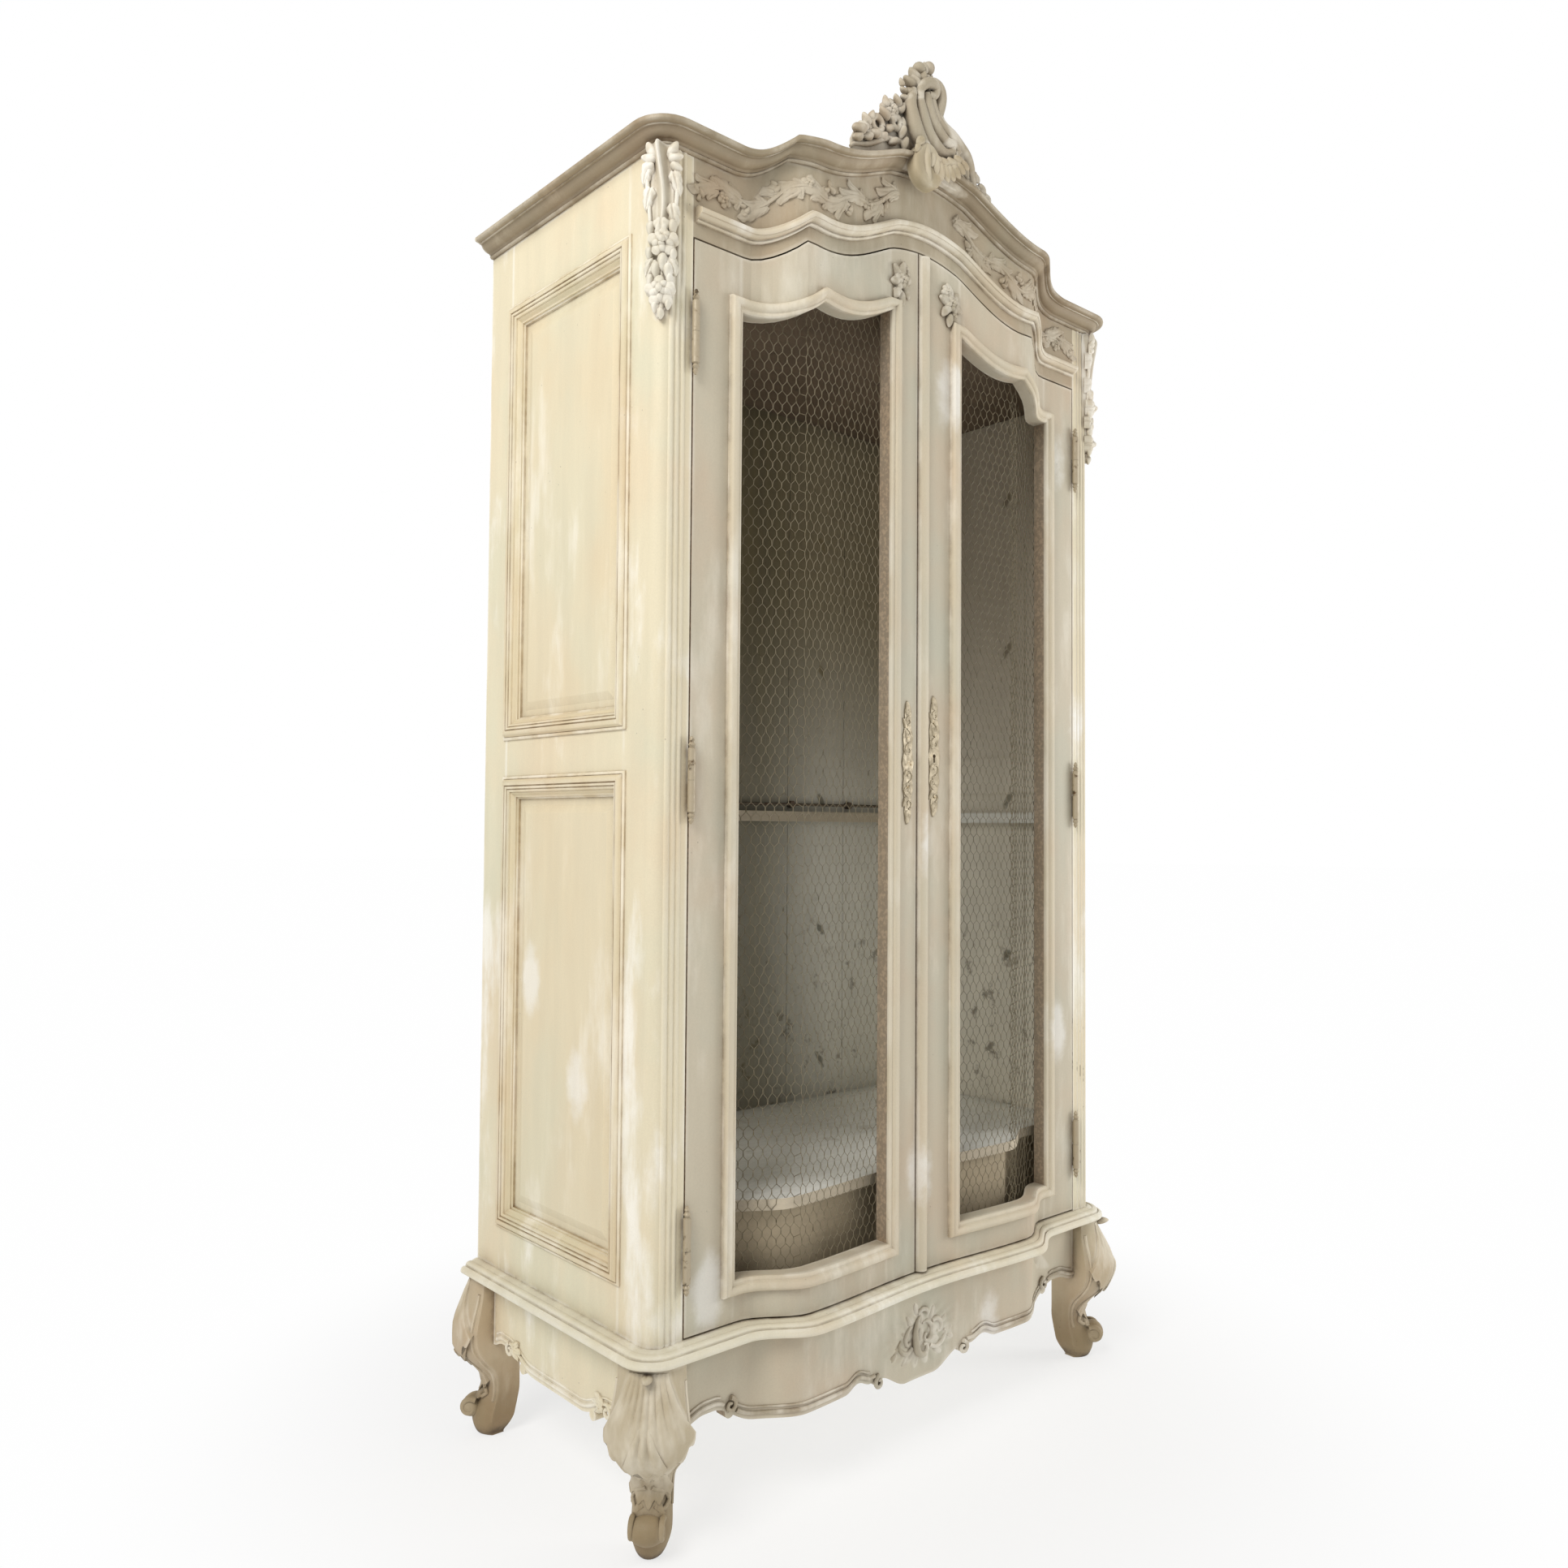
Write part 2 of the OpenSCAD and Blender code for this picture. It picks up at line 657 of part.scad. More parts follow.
// Carved brackets on the front corners, under the cornice: a leafy head, a
// smooth stem and a fall of roses. Heights are shares of the whole length.
module corner_bracket() {
  difference() {
    translate([half_w - corner_r * 0.29, front_y + corner_r * 0.29, case_top])
      rotate([0, 0, -45])
        union() {
          rotate([90, 0, 0])
            translate([0, 0, -corbel_w / 2])
              linear_extrude(corbel_w)
                polygon([for (p = [[-14, 0], [25, 0], [26, 0.05], [23, 0.12], [18, 0.2], [13, 0.3],
                    [10, 0.42], [8, 0.6], [6, 0.8], [0, 0.96], [-14, 0.96]])
                  [p[0], -p[1] * corbel_l]]);
          for (q = [[0.61, 21], [0.765, 19], [0.9, 14], [0.965, 9]])
            translate([0, 0, -q[0] * corbel_l]) sphere(r = q[1], $fn = 24);
          for (s = [-1, 1])
            translate([12, s * 12, -15]) sphere(r = 14, $fn = 24);
        }
    translate([0, front_y, base_z]) linear_extrude(case_top) post_outline();
  }
}
module corner_brackets() {
  color(beige) {
    corner_bracket();
    on_left() corner_bracket();
  }
}

// Aprons with shaped lower edges.
apron_end = half_w - leg_flat;
module front_apron() {
  xs = stations(-apron_end, apron_end);
  n = len(xs) - 1;
  cup = apron_low + 42;
  color(beige)
    union() {
      carved(-apron_end, apron_end, -4 - apron_t, -4, 60, leg_h)
        union() {
          polygon(concat([for (x = xs) [x, apron_z(x)]],
            [[apron_end, leg_h], [-apron_end, leg_h]]));
          for (s = [-1, 1]) {
            translate([s * 397, apron_z(397) + 2.3]) circle(10);
            translate([s * 107, apron_z(107) + 0.7]) circle(11);
          }
        }
      carved(-apron_end + 3, apron_end - 3, -9, -1, 60, leg_h)
        polygon(concat([for (x = xs) [x, apron_z(x) + 14]],
          [for (i = [n:-1:0]) [xs[i], apron_z(xs[i]) + 24]]));
      carved(-90, 90, -10, 6, 60, leg_h)
        translate([0, cup])
          union() {
            circle(20);
            for (s = [-1, 1])
              for (a = [-62, -30, 2, 30])
                translate([s * 12, 0]) rotate(s > 0 ? a : 180 - a) leaf(66 - abs(a) * 0.3, 20);
            rotate(90) leaf(40, 22);
          }
      carved(-90, 90, -11, 10, 60, leg_h) translate([0, cup]) flower(17);
    }
}
module side_aprons() {
  n = 24;
  ys = [for (k = [-n:n]) k * side_half / n];
  color(beige)
    for (s = [-1, 1])
      union() {
        translate([s > 0 ? half_w - 4 - apron_t : 4 - half_w, (front_y + back_y) / 2, 0])
          rotate([90, 0, 90])
            linear_extrude(apron_t)
              polygon(concat([for (y = ys) [y, side_apron_z(y)]],
                [[side_half, leg_h], [-side_half, leg_h]]));
        translate([s * (half_w - 4 - apron_t / 2), (front_y + back_y) / 2, apron_low + 4])
          for (t = [-1, 1])
            translate([-apron_t / 2, t * side_half * 0.52, 4])
              rotate([0, 90, 0]) cylinder(r = 9, h = apron_t);
      }
}
module back_rail() {
  color(beige)
    translate([-apron_end, back_y - 4 - apron_t, leg_h - 80])
      cube([2 * apron_end, apron_t, 80]);
}

// Cabriole leg, drawn on the diagonal: u points out, v runs across.
leg_in = leg_flat * sqrt(2);
leg_rings = [for (q = [[0, 0.66, 0.26, -14], [5, 0.66, 0.6, -6], [24, 0.84, 0.85, 2],
    [42, 0.92, 1, 6], [66, 0.96, 1, 0], [88, 1, 1, -13], [102, 1, 1, -14], [118, 1, 1.12, 0],
    [138, 1, 1.55, 20], [160, 1, 1.85, 36], [186, 1, 1.94, knee_out], [214, 1, 1.84, knee_out - 7],
    [240, 1, 1.72, 26], [264, 1, 1.66, 14]]) [q[0] * leg_h / 281, q[1], q[2], q[3]]];
function leg_ring(z, f, g, out) = let(w = min(ankle_w * g, knee_w), i = -leg_in * f,
    s = max(i + w, -leg_in + w))
  concat([[i, 0], [s, w]], [for (a = [72:-24:-72])
    [s + (out - s) * cos(a), w * sin(a)]], [[s, -w]]);
module leg() {
  rings = concat([for (q = leg_rings) [for (p = leg_ring(q[0], q[1], q[2], q[3]))
      [p[0], p[1], q[0]]]],
    [[for (p = leg_ring(0, 1, 1.66, 8)) [p[0], p[1], leg_h]]]);
  color(beige)
    translate([half_w, front_y, 0])
      rotate([0, 0, -45])
        union() {
          skin(rings);
          translate([scroll_r * 0.3, 0, leg_h * 0.2])
            rotate([90, 0, 0]) cylinder(r = scroll_r, h = ankle_w * 1.8, center = true);
        }
}
module leg_front_right() { leg(); }
module leg_front_left() { on_left() leg(); }
module leg_back() {
  difference() {
    translate([0, front_y + back_y, 0]) mirror([0, 1, 0]) leg();
    translate([0, back_y, -1]) cube([case_w, 200, leg_h + 2]);
  }
}
module leg_back_right() { leg_back(); }
module leg_back_left() { on_left() leg_back(); }

// Hinges: turned barrels with a finial at each end. The pin stands in the
// lower half and the upper half turns on it with the door.
finial = barrel_l * 0.46;
module finial_shape() {
  rotate_extrude()
    polygon([[0, 0], [barrel_r, 0], [barrel_r, 2], [barrel_r * 0.6, 4], [barrel_r * 0.95, 8],
      [barrel_r * 0.5, 12], [barrel_r * 0.72, 15], [barrel_r * 0.3, finial - 1], [0, finial]]);
}
leaf_t = door_gap / 2 - 0.3;
module hinge_pins() {
  color(iron)
    for (z = hinges)
      union() {
        translate([pin_x, pin_y, z - barrel_l]) cylinder(r = barrel_r, h = barrel_l);
        translate([pin_x, pin_y, z - tiny]) cylinder(r = pin_r, h = barrel_l - 4);
        translate([pin_x, pin_y, z - barrel_l]) mirror([0, 0, 1]) finial_shape();
        translate([post_in - leaf_t, pin_y, z - barrel_l + 2])
          cube([leaf_t, pin_out + frame_t, barrel_l - 4]);
      }
}
module hinge_pins_left() { on_left() hinge_pins(); }
module hinge_pins_right() { hinge_pins(); }
module barrels() {
  color(iron)
    for (z = hinges)
      difference() {
        union() {
          translate([pin_x, pin_y, z + 0.3]) cylinder(r = barrel_r, h = barrel_l);
          translate([pin_x, pin_y, z + 0.3 + barrel_l]) finial_shape();
          translate([door_edge, pin_y, z + 2]) cube([leaf_t, pin_out + frame_t, barrel_l - 4]);
        }
        translate([pin_x, pin_y, z - 1]) cylinder(r = pin_r + pin_gap, h = barrel_l - 2);
      }
}
module left_barrels() { on_left() barrels(); }
module right_barrels() { barrels(); }

// Door frames: the left door is drawn on the left, the right on the right.
module stile(a, b) {
  xs = stations(a, b);
  color(beige)
    faced(a, b, 0, frame_t, door_z, case_top + 100,
      [for (x = xs) [x, door_z]], [for (x = xs) [x, door_top(x)]]);
}
module left_hinge_stile() { stile(-door_edge, -light_out); }
module right_hinge_stile() { stile(light_out, door_edge); }
module left_meeting_stile() { stile(-light_in, -seam_x - door_gap / 2); }
module right_meeting_stile() {
  difference() {
    stile(-seam_x + door_gap / 2, light_in);
    translate([lock_x, front_y - 100, key_z]) rotate([-90, 0, 0]) cylinder(r = key_r + 0.9, h = 200);
    translate([lock_x - key_r / 2 - 0.5, front_y - 100, key_z - key_r - 10])
      cube([key_r + 1, 200, key_r + 10]);
  }
}
module top_rail() {
  xs = stations(light_in, light_out);
  color(beige)
    faced(light_in, light_out, 0, frame_t, light_cusp_z - 150, case_top + 100,
      [for (x = xs) [x, light_top(x)]], [for (x = xs) [x, door_top(x)]]);
}
module left_top_rail() { on_left() top_rail(); }
module right_top_rail() { top_rail(); }
module bottom_rail() {
  color(beige) bowed(light_in, light_out, 0, frame_t, door_z, light_sill);
}
module left_bottom_rail() { on_left() bottom_rail(); }
module right_bottom_rail() { bottom_rail(); }

// Moulding round the netted opening, mitred at its four corners.
mw = light_mould_w;
mp = light_mould_p;
light_profile = [[mw, glue], [mw * 0.94, mp * 0.26], [mw * 0.76, mp * 0.45], [mw * 0.56, mp * 0.9],
  [mw * 0.32, mp], [mw * 0.12, mp * 0.84], [0, mp * 0.5], [0, glue]];
module light_moulding() {
  xs = stations(light_in, light_out);
  n = len(xs) - 1;
  function ring(x, z, dx, dz) = [for (p = light_profile)
    [x + dx * p[0], front_y + bow(x + dx * p[0]) - p[1], z + dz * p[0]]];
  color(cream)
    skin(concat([for (i = [0:n]) ring(xs[i], light_sill, i == 0 ? -1 : i == n ? 1 : 0, -1)],
      [for (i = [n:-1:0]) ring(xs[i], light_top(xs[i]), i == 0 ? -1 : i == n ? 1 : 0, 1)]),
      loop = true);
}
module left_moulding() { on_left() light_moulding(); }
module right_moulding() { light_moulding(); }

// Netting: one ring of wire for each six-sided cell, joined along the sides.
net_p = (light_out - light_in + 2 * net_lap) / net_cols;
net_q = (light_cusp_z + light_rise - light_sill + 2 * net_lap) / (net_rows + 0.3);
net_mid = (light_in + light_out) / 2;
function net_x(i, j) = net_mid + (i - (net_cols - 1 - j % 2) / 2) * net_p;
function net_z(j) = light_sill - net_lap + (j + 0.67) * net_q;
function has_cell(i, j) = j >= 0 && j < net_rows && i >= 0 && i < net_cols - j % 2
  && net_z(j) < light_top(net_x(i, j)) + net_q * 0.55;
function beside(i, j, k) = let(o = j % 2)
  k == 0 ? [i + o, j + 1] : k == 1 ? [i + 1, j] : k == 2 ? [i + o, j - 1]
  : k == 3 ? [i + o - 1, j - 1] : k == 4 ? [i - 1, j] : [i + o - 1, j + 1];
six = [[0, 2 / 3], [0.5, 1 / 3], [0.5, -1 / 3], [0, -2 / 3], [-0.5, -1 / 3], [-0.5, 1 / 3]];
function exact(v) = round(v * 1000) / 1000;
// The net is stretched over the back of the frame, so it is lifted where the
// straight wire between two knots would cut into the bow.
net_d = net_p / 2;
function sag(x, d) = max([for (k = [1:7]) bow(x + d * k / 8) - bow(x) - (bow(x + d) - bow(x)) * k / 8]);
function net_y(x) = front_y + frame_t + net_fit + bow(x) + max(0, sag(x, net_d), sag(x, -net_d));
module netting() {
  cells = [for (j = [0:net_rows - 1]) for (i = [0:net_cols - 1]) if (has_cell(i, j)) [i, j]];
  f = 1 - net_wire / net_p;
  pts = [for (c = cells) for (d = [0, net_t]) for (g = [1, f]) for (v = six)
    let(x = exact(net_x(c[0], c[1]) + v[0] * g * net_p))
    [x, exact(net_y(x) + d), exact(net_z(c[1]) + v[1] * g * net_q)]];
  faces = [for (m = [0:len(cells) - 1]) for (k = [0:5])
    let(b = m * 24, l = (k + 1) % 6, c = cells[m], nb = beside(c[0], c[1], k))
    each concat([[b + k, b + l, b + 6 + l], [b + k, b + 6 + l, b + 6 + k],
        [b + 6 + k, b + 6 + l, b + 18 + l], [b + 6 + k, b + 18 + l, b + 18 + k],
        [b + 12 + l, b + 12 + k, b + 18 + k], [b + 12 + l, b + 18 + k, b + 18 + l]],
      has_cell(nb[0], nb[1]) ? [] : [[b + l, b + k, b + 12 + k], [b + l, b + 12 + k, b + 12 + l]])];
  color(iron) polyhedron(pts, faces, convexity = 20);
}
module left_netting() { on_left() netting(); }
module right_netting() { netting(); }

// Escutcheon: a long pierced plate with scrolled ends.
module plate(key) {
  h = plate_l / 2;
  difference() {
    union() {
      translate([-5, -h * 0.84]) square([10, h * 1.68]);
      translate([-2.5, 8 - h]) square([5, 2 * h - 16]);
      for (s = [-1, 1]) {
        for (k = [0:3])
          translate([0, s * h * (0.2 + 0.2 * k)]) circle(11 - k * 1.5);
        translate([0, s * (h - 5)]) circle(5);
      }
      circle(12);
    }
    if (key) {
      circle(key_r);
      translate([-key_r / 2, -key_r - 8]) square([key_r, key_r + 8]);
    }
  }
}
lock_x = light_in / 2 - 18;
plate_x = light_in / 2 - 5;
rose_x = light_in - 26;
module rose() {
  x = rose_x;
  z = door_top(x) - 54;
  color(beige)
    union() {
      carved(x - 40, x + 40, 0, 6, z - 80, z + 80)
        translate([x, z]) {
          flower(24);
          translate([-10, -18]) rotate(-112) leaf(32, 14);
          translate([12, 14]) rotate(24) leaf(26, 12);
          translate([-12, 12]) rotate(156) leaf(26, 12);
        }
      carved(x - 20, x + 20, 0, 9, z - 30, z + 30) translate([x, z]) flower(14);
      carved(x - 20, x + 20, 0, 12, z - 30, z + 30) translate([x, z]) circle(5.5);
    }
}
module left_ornaments() {
  color(brass)
    carved(-plate_x - 20, -plate_x + 20, 0, 2.5, key_z - 140, key_z + 110)
      translate([-plate_x, key_z - 14]) plate(false);
  on_left() rose();
}
module right_ornaments() {
  color(brass)
    carved(lock_x - 20, lock_x + 20, 0, 2.5, key_z - 120, key_z + 120)
      translate([lock_x, key_z]) plate(true);
  rose();
}

// Half-round bead over the seam, on the right door.
bead_r = (bead_p * bead_p + bead_w * bead_w / 4) / (2 * bead_p);
module seam_bead() {
  x0 = -seam_x + door_gap / 2 + 1;
  color(cream)
    translate([x0, front_y + bow(x0 + bead_w / 2) - 0.5, door_z])
      linear_extrude(door_top(x0) - door_z - 4)
        intersection() {
          translate([0, -bead_p]) square([bead_w, bead_p]);
          translate([bead_w / 2, bead_r - bead_p]) circle(bead_r);
        }
}

// Surface bolts on the back of the left meeting stile. They slide in
// guides and pass into keepers above and below.
bolt_x = -light_in / 2 - seam_x / 2;
bolt_back = frame_t + bolt_r + 4.5;
bolt_y = front_y + bow(bolt_x) + bolt_back;
bolt_top = ceiling_z + board_t - bolt_throw - 2;
guide_w = bolt_r + 4;
module bolt_guides() {
  color(iron)
    for (z = [door_z + 20, door_z + bolt_l - 20, bolt_top - 28, bolt_top - bolt_l + 12])
      difference() {
        bowed(bolt_x - guide_w, bolt_x + guide_w, frame_t, 2 * (bolt_back - frame_t), z - 6, z + 6);
        translate([bolt_x, bolt_y, z - 7]) cylinder(r = bolt_r + 0.3, h = 14);
      }
}
module bolt() {
  union() {
    cylinder(r = bolt_r, h = bolt_l);
    translate([0, 0, bolt_l / 2]) rotate([-90, 0, 0]) cylinder(r = 2.5, h = bolt_r + 12);
    translate([0, bolt_r + 12, bolt_l / 2]) sphere(r = 5.5, $fn = 24);
  }
}
module top_bolt() {
  color(iron) translate([bolt_x, bolt_y, bolt_top - bolt_l]) bolt();
}
module bottom_bolt() {
  color(iron) translate([bolt_x, bolt_y, door_z]) bolt();
}
// Keepers: the upper one on the front edge of the ceiling, the lower one
// on the bottom board.
module bolt_keepers() {
  color(iron) {
    difference() {
      bowed(bolt_x - 14, bolt_x + 14, frame_t + 1.5, inner_front - frame_t - 1.5,
        bolt_top + 3, ceiling_z + board_t);
      translate([bolt_x, bolt_y, bolt_top]) cylinder(r = bolt_r + 0.6, h = 40);
    }
    difference() {
      translate([bolt_x - 14, bolt_y - 12, base_z]) cube([28, 24, 1]);
      translate([bolt_x, bolt_y, base_z - 5]) cylinder(r = bolt_r + 1, h = 20);
    }
  }
}

// Lock on the back of the right meeting stile, keeper on the left one.
lock_d = 14;
lock_y = front_y + bow(0) + frame_t + 0.3;
lock_left = -seam_x + door_gap / 2 + 1;
lock_w = 66;
module lock_case() {
  color(iron)
    difference() {
      translate([lock_left, lock_y, key_z - 32]) cube([lock_w, lock_d, 64]);
      translate([lock_left - 1, lock_y + 3, key_z - lock_bolt_h / 2 - 0.3])
        cube([lock_w - 9, lock_d - 6, lock_bolt_h + 0.6]);
      translate([lock_x, lock_y - 1, key_z]) rotate([-90, 0, 0]) cylinder(r = key_r, h = 4.2);
    }
}
module lock_bolt() {
  color(brass)
    translate([lock_left, lock_y + 3.4, key_z - lock_bolt_h / 2])
      cube([34, lock_d - 6.8, lock_bolt_h]);
}
module lock_keeper() {
  wall = 3;
  deep = lock_throw + 6;
  color(iron)
    translate([-seam_x - door_gap / 2 - 1 - deep, lock_y, key_z - lock_bolt_h / 2 - wall - 1])
      difference() {
        cube([deep, lock_d, lock_bolt_h + 2 * wall + 2]);
        translate([wall, 2, wall]) cube([deep, lock_d - 4, lock_bolt_h + 2]);
      }
}

front_post_left();
front_post_right();
back_post_left();
back_post_right();
side_rails_left();
side_rails_right();
side_panels_left();
side_panels_right();
side_mouldings_left();
side_mouldings_right();
back_planks();
inner_battens();
iron_rod();
floor_board();
riser_board();
ceiling_board();
head_rail();
top_board();
bottom_board();
cornice();
frieze_board();
frieze_moulding();
frieze_carving();
crest();
corner_brackets();
base_moulding();
front_apron();
side_aprons();
back_rail();
leg_front_left();
leg_front_right();
leg_back_left();
leg_back_right();
hinge_pins_left();
hinge_pins_right();
bolt_keepers();
left_hinge_stile();
left_meeting_stile();
left_top_rail();
left_bottom_rail();
left_moulding();
left_netting();
left_ornaments();
left_barrels();
lock_keeper();
bolt_guides();
top_bolt();
bottom_bolt();
right_hinge_stile();
right_meeting_stile();
right_top_rail();
right_bottom_rail();
right_moulding();
right_netting();
right_ornaments();
right_barrels();
seam_bead();
lock_case();
lock_bolt();
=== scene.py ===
from math import atan2, cos, degrees, exp, hypot, pi, radians, sin, sqrt
import random

import bmesh
import bpy
from mathutils import Matrix, Vector


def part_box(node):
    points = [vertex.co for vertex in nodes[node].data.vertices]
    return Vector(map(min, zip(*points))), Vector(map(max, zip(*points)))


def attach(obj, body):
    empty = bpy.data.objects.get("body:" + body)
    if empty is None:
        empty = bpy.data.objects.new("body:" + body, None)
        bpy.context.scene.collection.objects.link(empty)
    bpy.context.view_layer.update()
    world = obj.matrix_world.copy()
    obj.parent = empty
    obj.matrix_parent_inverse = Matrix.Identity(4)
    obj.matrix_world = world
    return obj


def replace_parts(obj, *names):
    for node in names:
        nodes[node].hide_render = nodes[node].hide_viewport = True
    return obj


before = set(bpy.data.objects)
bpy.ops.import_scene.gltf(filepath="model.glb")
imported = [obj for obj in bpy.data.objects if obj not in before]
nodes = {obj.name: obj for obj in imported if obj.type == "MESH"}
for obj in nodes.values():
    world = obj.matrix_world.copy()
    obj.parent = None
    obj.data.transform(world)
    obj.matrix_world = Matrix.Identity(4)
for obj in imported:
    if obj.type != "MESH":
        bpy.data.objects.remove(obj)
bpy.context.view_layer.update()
MM = 0.001

# The lines that the front is drawn by, as in the solids

HALF_W = 0.553
FRONT = -0.220
BACK = 0.308
CASE_TOP = 2.114
FRAME_T = 0.024
SIDES = ((-1, "left"), (1, "right"))


def ease(t):
    return (1 - cos(pi * max(0.0, min(1.0, t)))) / 2


def bow(x):
    x = abs(x) / MM
    return (-50 * ease((387 - x) / 110) + 16 * ease((277 - x) / 277)) * MM


def arch(x, cusp, rise):
    x = abs(x) / MM
    if x > cusp:
        return -42 * MM * (1 - (1 - min(1, (x - cusp) / 95)) ** 2)
    return (rise * ease((cusp - x) / cusp)
            - 11 * sin(radians(min(180, 180 * (cusp - x) / cusp / 0.7)))) * MM


def door_top(x):
    return 2.028 + arch(x, 294.75, 73)


def light_top(x):
    return 1.937 + arch(x, 262, 56)


def cornice_z(x):
    return 2.156 + arch(x, 327.5, 73)


def apron_z(x):
    t = abs(x) / MM
    return (149 + 31 * ease((t - 355) / 75) - 12 * ease((t - 445) / 50)
            + 10 * ease(1 - abs(t - 160) / 32) - 28 * ease((104 - t) / 70)) * MM


def side_apron_z(y):
    t = abs(y - (FRONT + BACK) / 2) / MM
    return (153 + 24 * ease((t - 208 * 0.35) / (208 * 0.4))
            - 10 * ease((t - 208 * 0.85) / (208 * 0.15))) * MM


def garland_z(x):
    return (door_top(x) + 0.050 + cornice_z(x)) / 2


# Shader groups for the effects that several finishes share

class Wiring:
    """Adds nodes to a tree and joins them."""

    def __init__(self, tree):
        self.tree = tree

    def add(self, kind, inputs=None, **settings):
        node = self.tree.nodes.new("ShaderNode" + kind)
        for key, value in settings.items():
            setattr(node, key, value)
        for label, value in (inputs or {}).items():
            self.put(node.inputs[label], value)
        return node

    def join(self, source, target):
        self.tree.links.new(source, target)

    def put(self, socket, value):
        if isinstance(value, bpy.types.NodeSocket):
            self.join(value, socket)
        elif value is not None:
            socket.default_value = value

    def math(self, operation, a, b=None, c=None, clamp=False):
        return self.add("Math", dict(enumerate((a, b, c))), operation=operation,
                        use_clamp=clamp).outputs[0]

    def times(self, a, b, clamp=False):
        return self.math("MULTIPLY", a, b, clamp=clamp)

    def times_plus(self, a, b, c):
        return self.math("MULTIPLY_ADD", a, b, c)

    def mix(self, factor, a, b, blend="MIX"):
        return self.add("Mix", {"Factor": factor, 6: a, 7: b}, data_type="RGBA",
                        blend_type=blend).outputs[2]

    def tinted(self, a, b):
        return self.mix(1.0, a, b, "MULTIPLY")

    def noise(self, vector, scale, detail=3.0, rough=0.55):
        return self.add("TexNoise", {"Vector": vector, "Scale": scale, "Detail": detail,
                                     "Roughness": rough}).outputs["Fac"]

    def cells(self, vector, scale):
        return self.add("TexVoronoi", {"Vector": vector, "Scale": scale}).outputs["Distance"]

    def stretch(self, vector, scale, place=(0, 0, 0)):
        return self.add("Mapping", {"Vector": vector, "Scale": scale,
                                    "Location": place}).outputs[0]

    def step(self, value, low, high, a=0.0, b=1.0):
        return self.add("MapRange", dict(enumerate((value, low, high, a, b))),
                        interpolation_type="SMOOTHSTEP").outputs[0]

    def parts(self, vector):
        """The X, Y and Z of a vector."""
        return self.add("SeparateXYZ", {0: vector}).outputs

    def nearness(self, distance, inside=False):
        return self.add("AmbientOcclusion", {"Distance": distance}, samples=4,
                        inside=inside).outputs["AO"]

    def turned_to(self):
        """The face's own direction in the piece's frame, so it stays with a door that swings."""
        facing = self.add("NewGeometry").outputs["True Normal"]
        return self.parts(self.add("VectorTransform", {0: facing}, vector_type="NORMAL",
                                   convert_from="WORLD", convert_to="OBJECT").outputs[0])


def new_group(name, outputs, **inputs):
    """A group, its wiring, the sockets that feed it and the node that ends it."""
    group = bpy.data.node_groups.new(name, "ShaderNodeTree")
    for direction, sockets in (("INPUT", inputs), ("OUTPUT", outputs)):
        for kind, labels in sockets.items():
            for label in labels.split():
                group.interface.new_socket(label, in_out=direction,
                                           socket_type="NodeSocket" + kind)
    start, end = group.nodes.new("NodeGroupInput"), group.nodes.new("NodeGroupOutput")
    fed = [start.outputs[label] for labels in inputs.values() for label in labels.split()]
    return group, Wiring(group), fed, end


def build_lime_patches():
    """Old lime paint: warm, green and white clouds, brush streaks and fly specks."""
    group, w, (v, paint, rosy, mossy, white, clouding, liming), end = new_group(
        "lime_patches", {"Color": "Color", "Float": "Height"},
        Vector="Vector", Color="Paint Rosy Mossy Lime", Float="Clouding Liming")
    streaks = w.noise(w.stretch(v, (26, 26, 3.4)), 1.0, 4, 0.6)
    warm = w.step(w.noise(w.stretch(v, (1.3, 1.3, 0.9)), 4.4, 4), 0.42, 0.70)
    green = w.step(w.noise(w.stretch(v, (1.3, 1.3, 0.9), (7, 3, 1)), 3.7, 4), 0.45, 0.72)
    base = w.mix(w.times(warm, clouding), paint, rosy)
    base = w.mix(w.times(green, clouding), base, mossy)
    cloud = w.noise(w.stretch(v, (3.2, 3.2, 1.3), (2, 9, 4)), 2.4, 5, 0.62)
    lime = w.times(w.step(w.times_plus(streaks, 0.35, cloud), 0.70, 0.90), liming)
    base = w.mix(lime, base, white)
    bare = w.cells(w.stretch(v, (4.2, 4.2, 2.1), (0.3, 0.8, 0.1)), 1.0)
    near = w.times_plus(w.noise(v, 24, 4, 0.6), 0.16, bare)
    spot = w.times(w.step(near, 0.15, 0.25, 1.0, 0.0), liming, clamp=True)
    base = w.mix(spot, base, (0.93, 0.92, 0.88, 1))
    base = w.tinted(base, w.step(streaks, 0.3, 0.7, 0.965, 1.02))
    fine = w.noise(v, 420, 3, 0.6)
    base = w.tinted(base, w.step(fine, 0.25, 0.75, 0.965, 1.02))
    patchy = w.step(w.noise(v, 5, 2), 0.52, 0.62)
    speck = w.times(w.step(w.cells(v, 46), 0.035, 0.06, 1.0, 0.0), patchy)
    w.join(w.mix(w.times(speck, 0.55), base, (0.16, 0.12, 0.08, 1)), end.inputs["Color"])
    height = w.math("ADD", w.times(streaks, 0.6), w.times(fine, 0.25))
    w.join(w.times_plus(lime, 0.3, height), end.inputs["Height"])
    return group


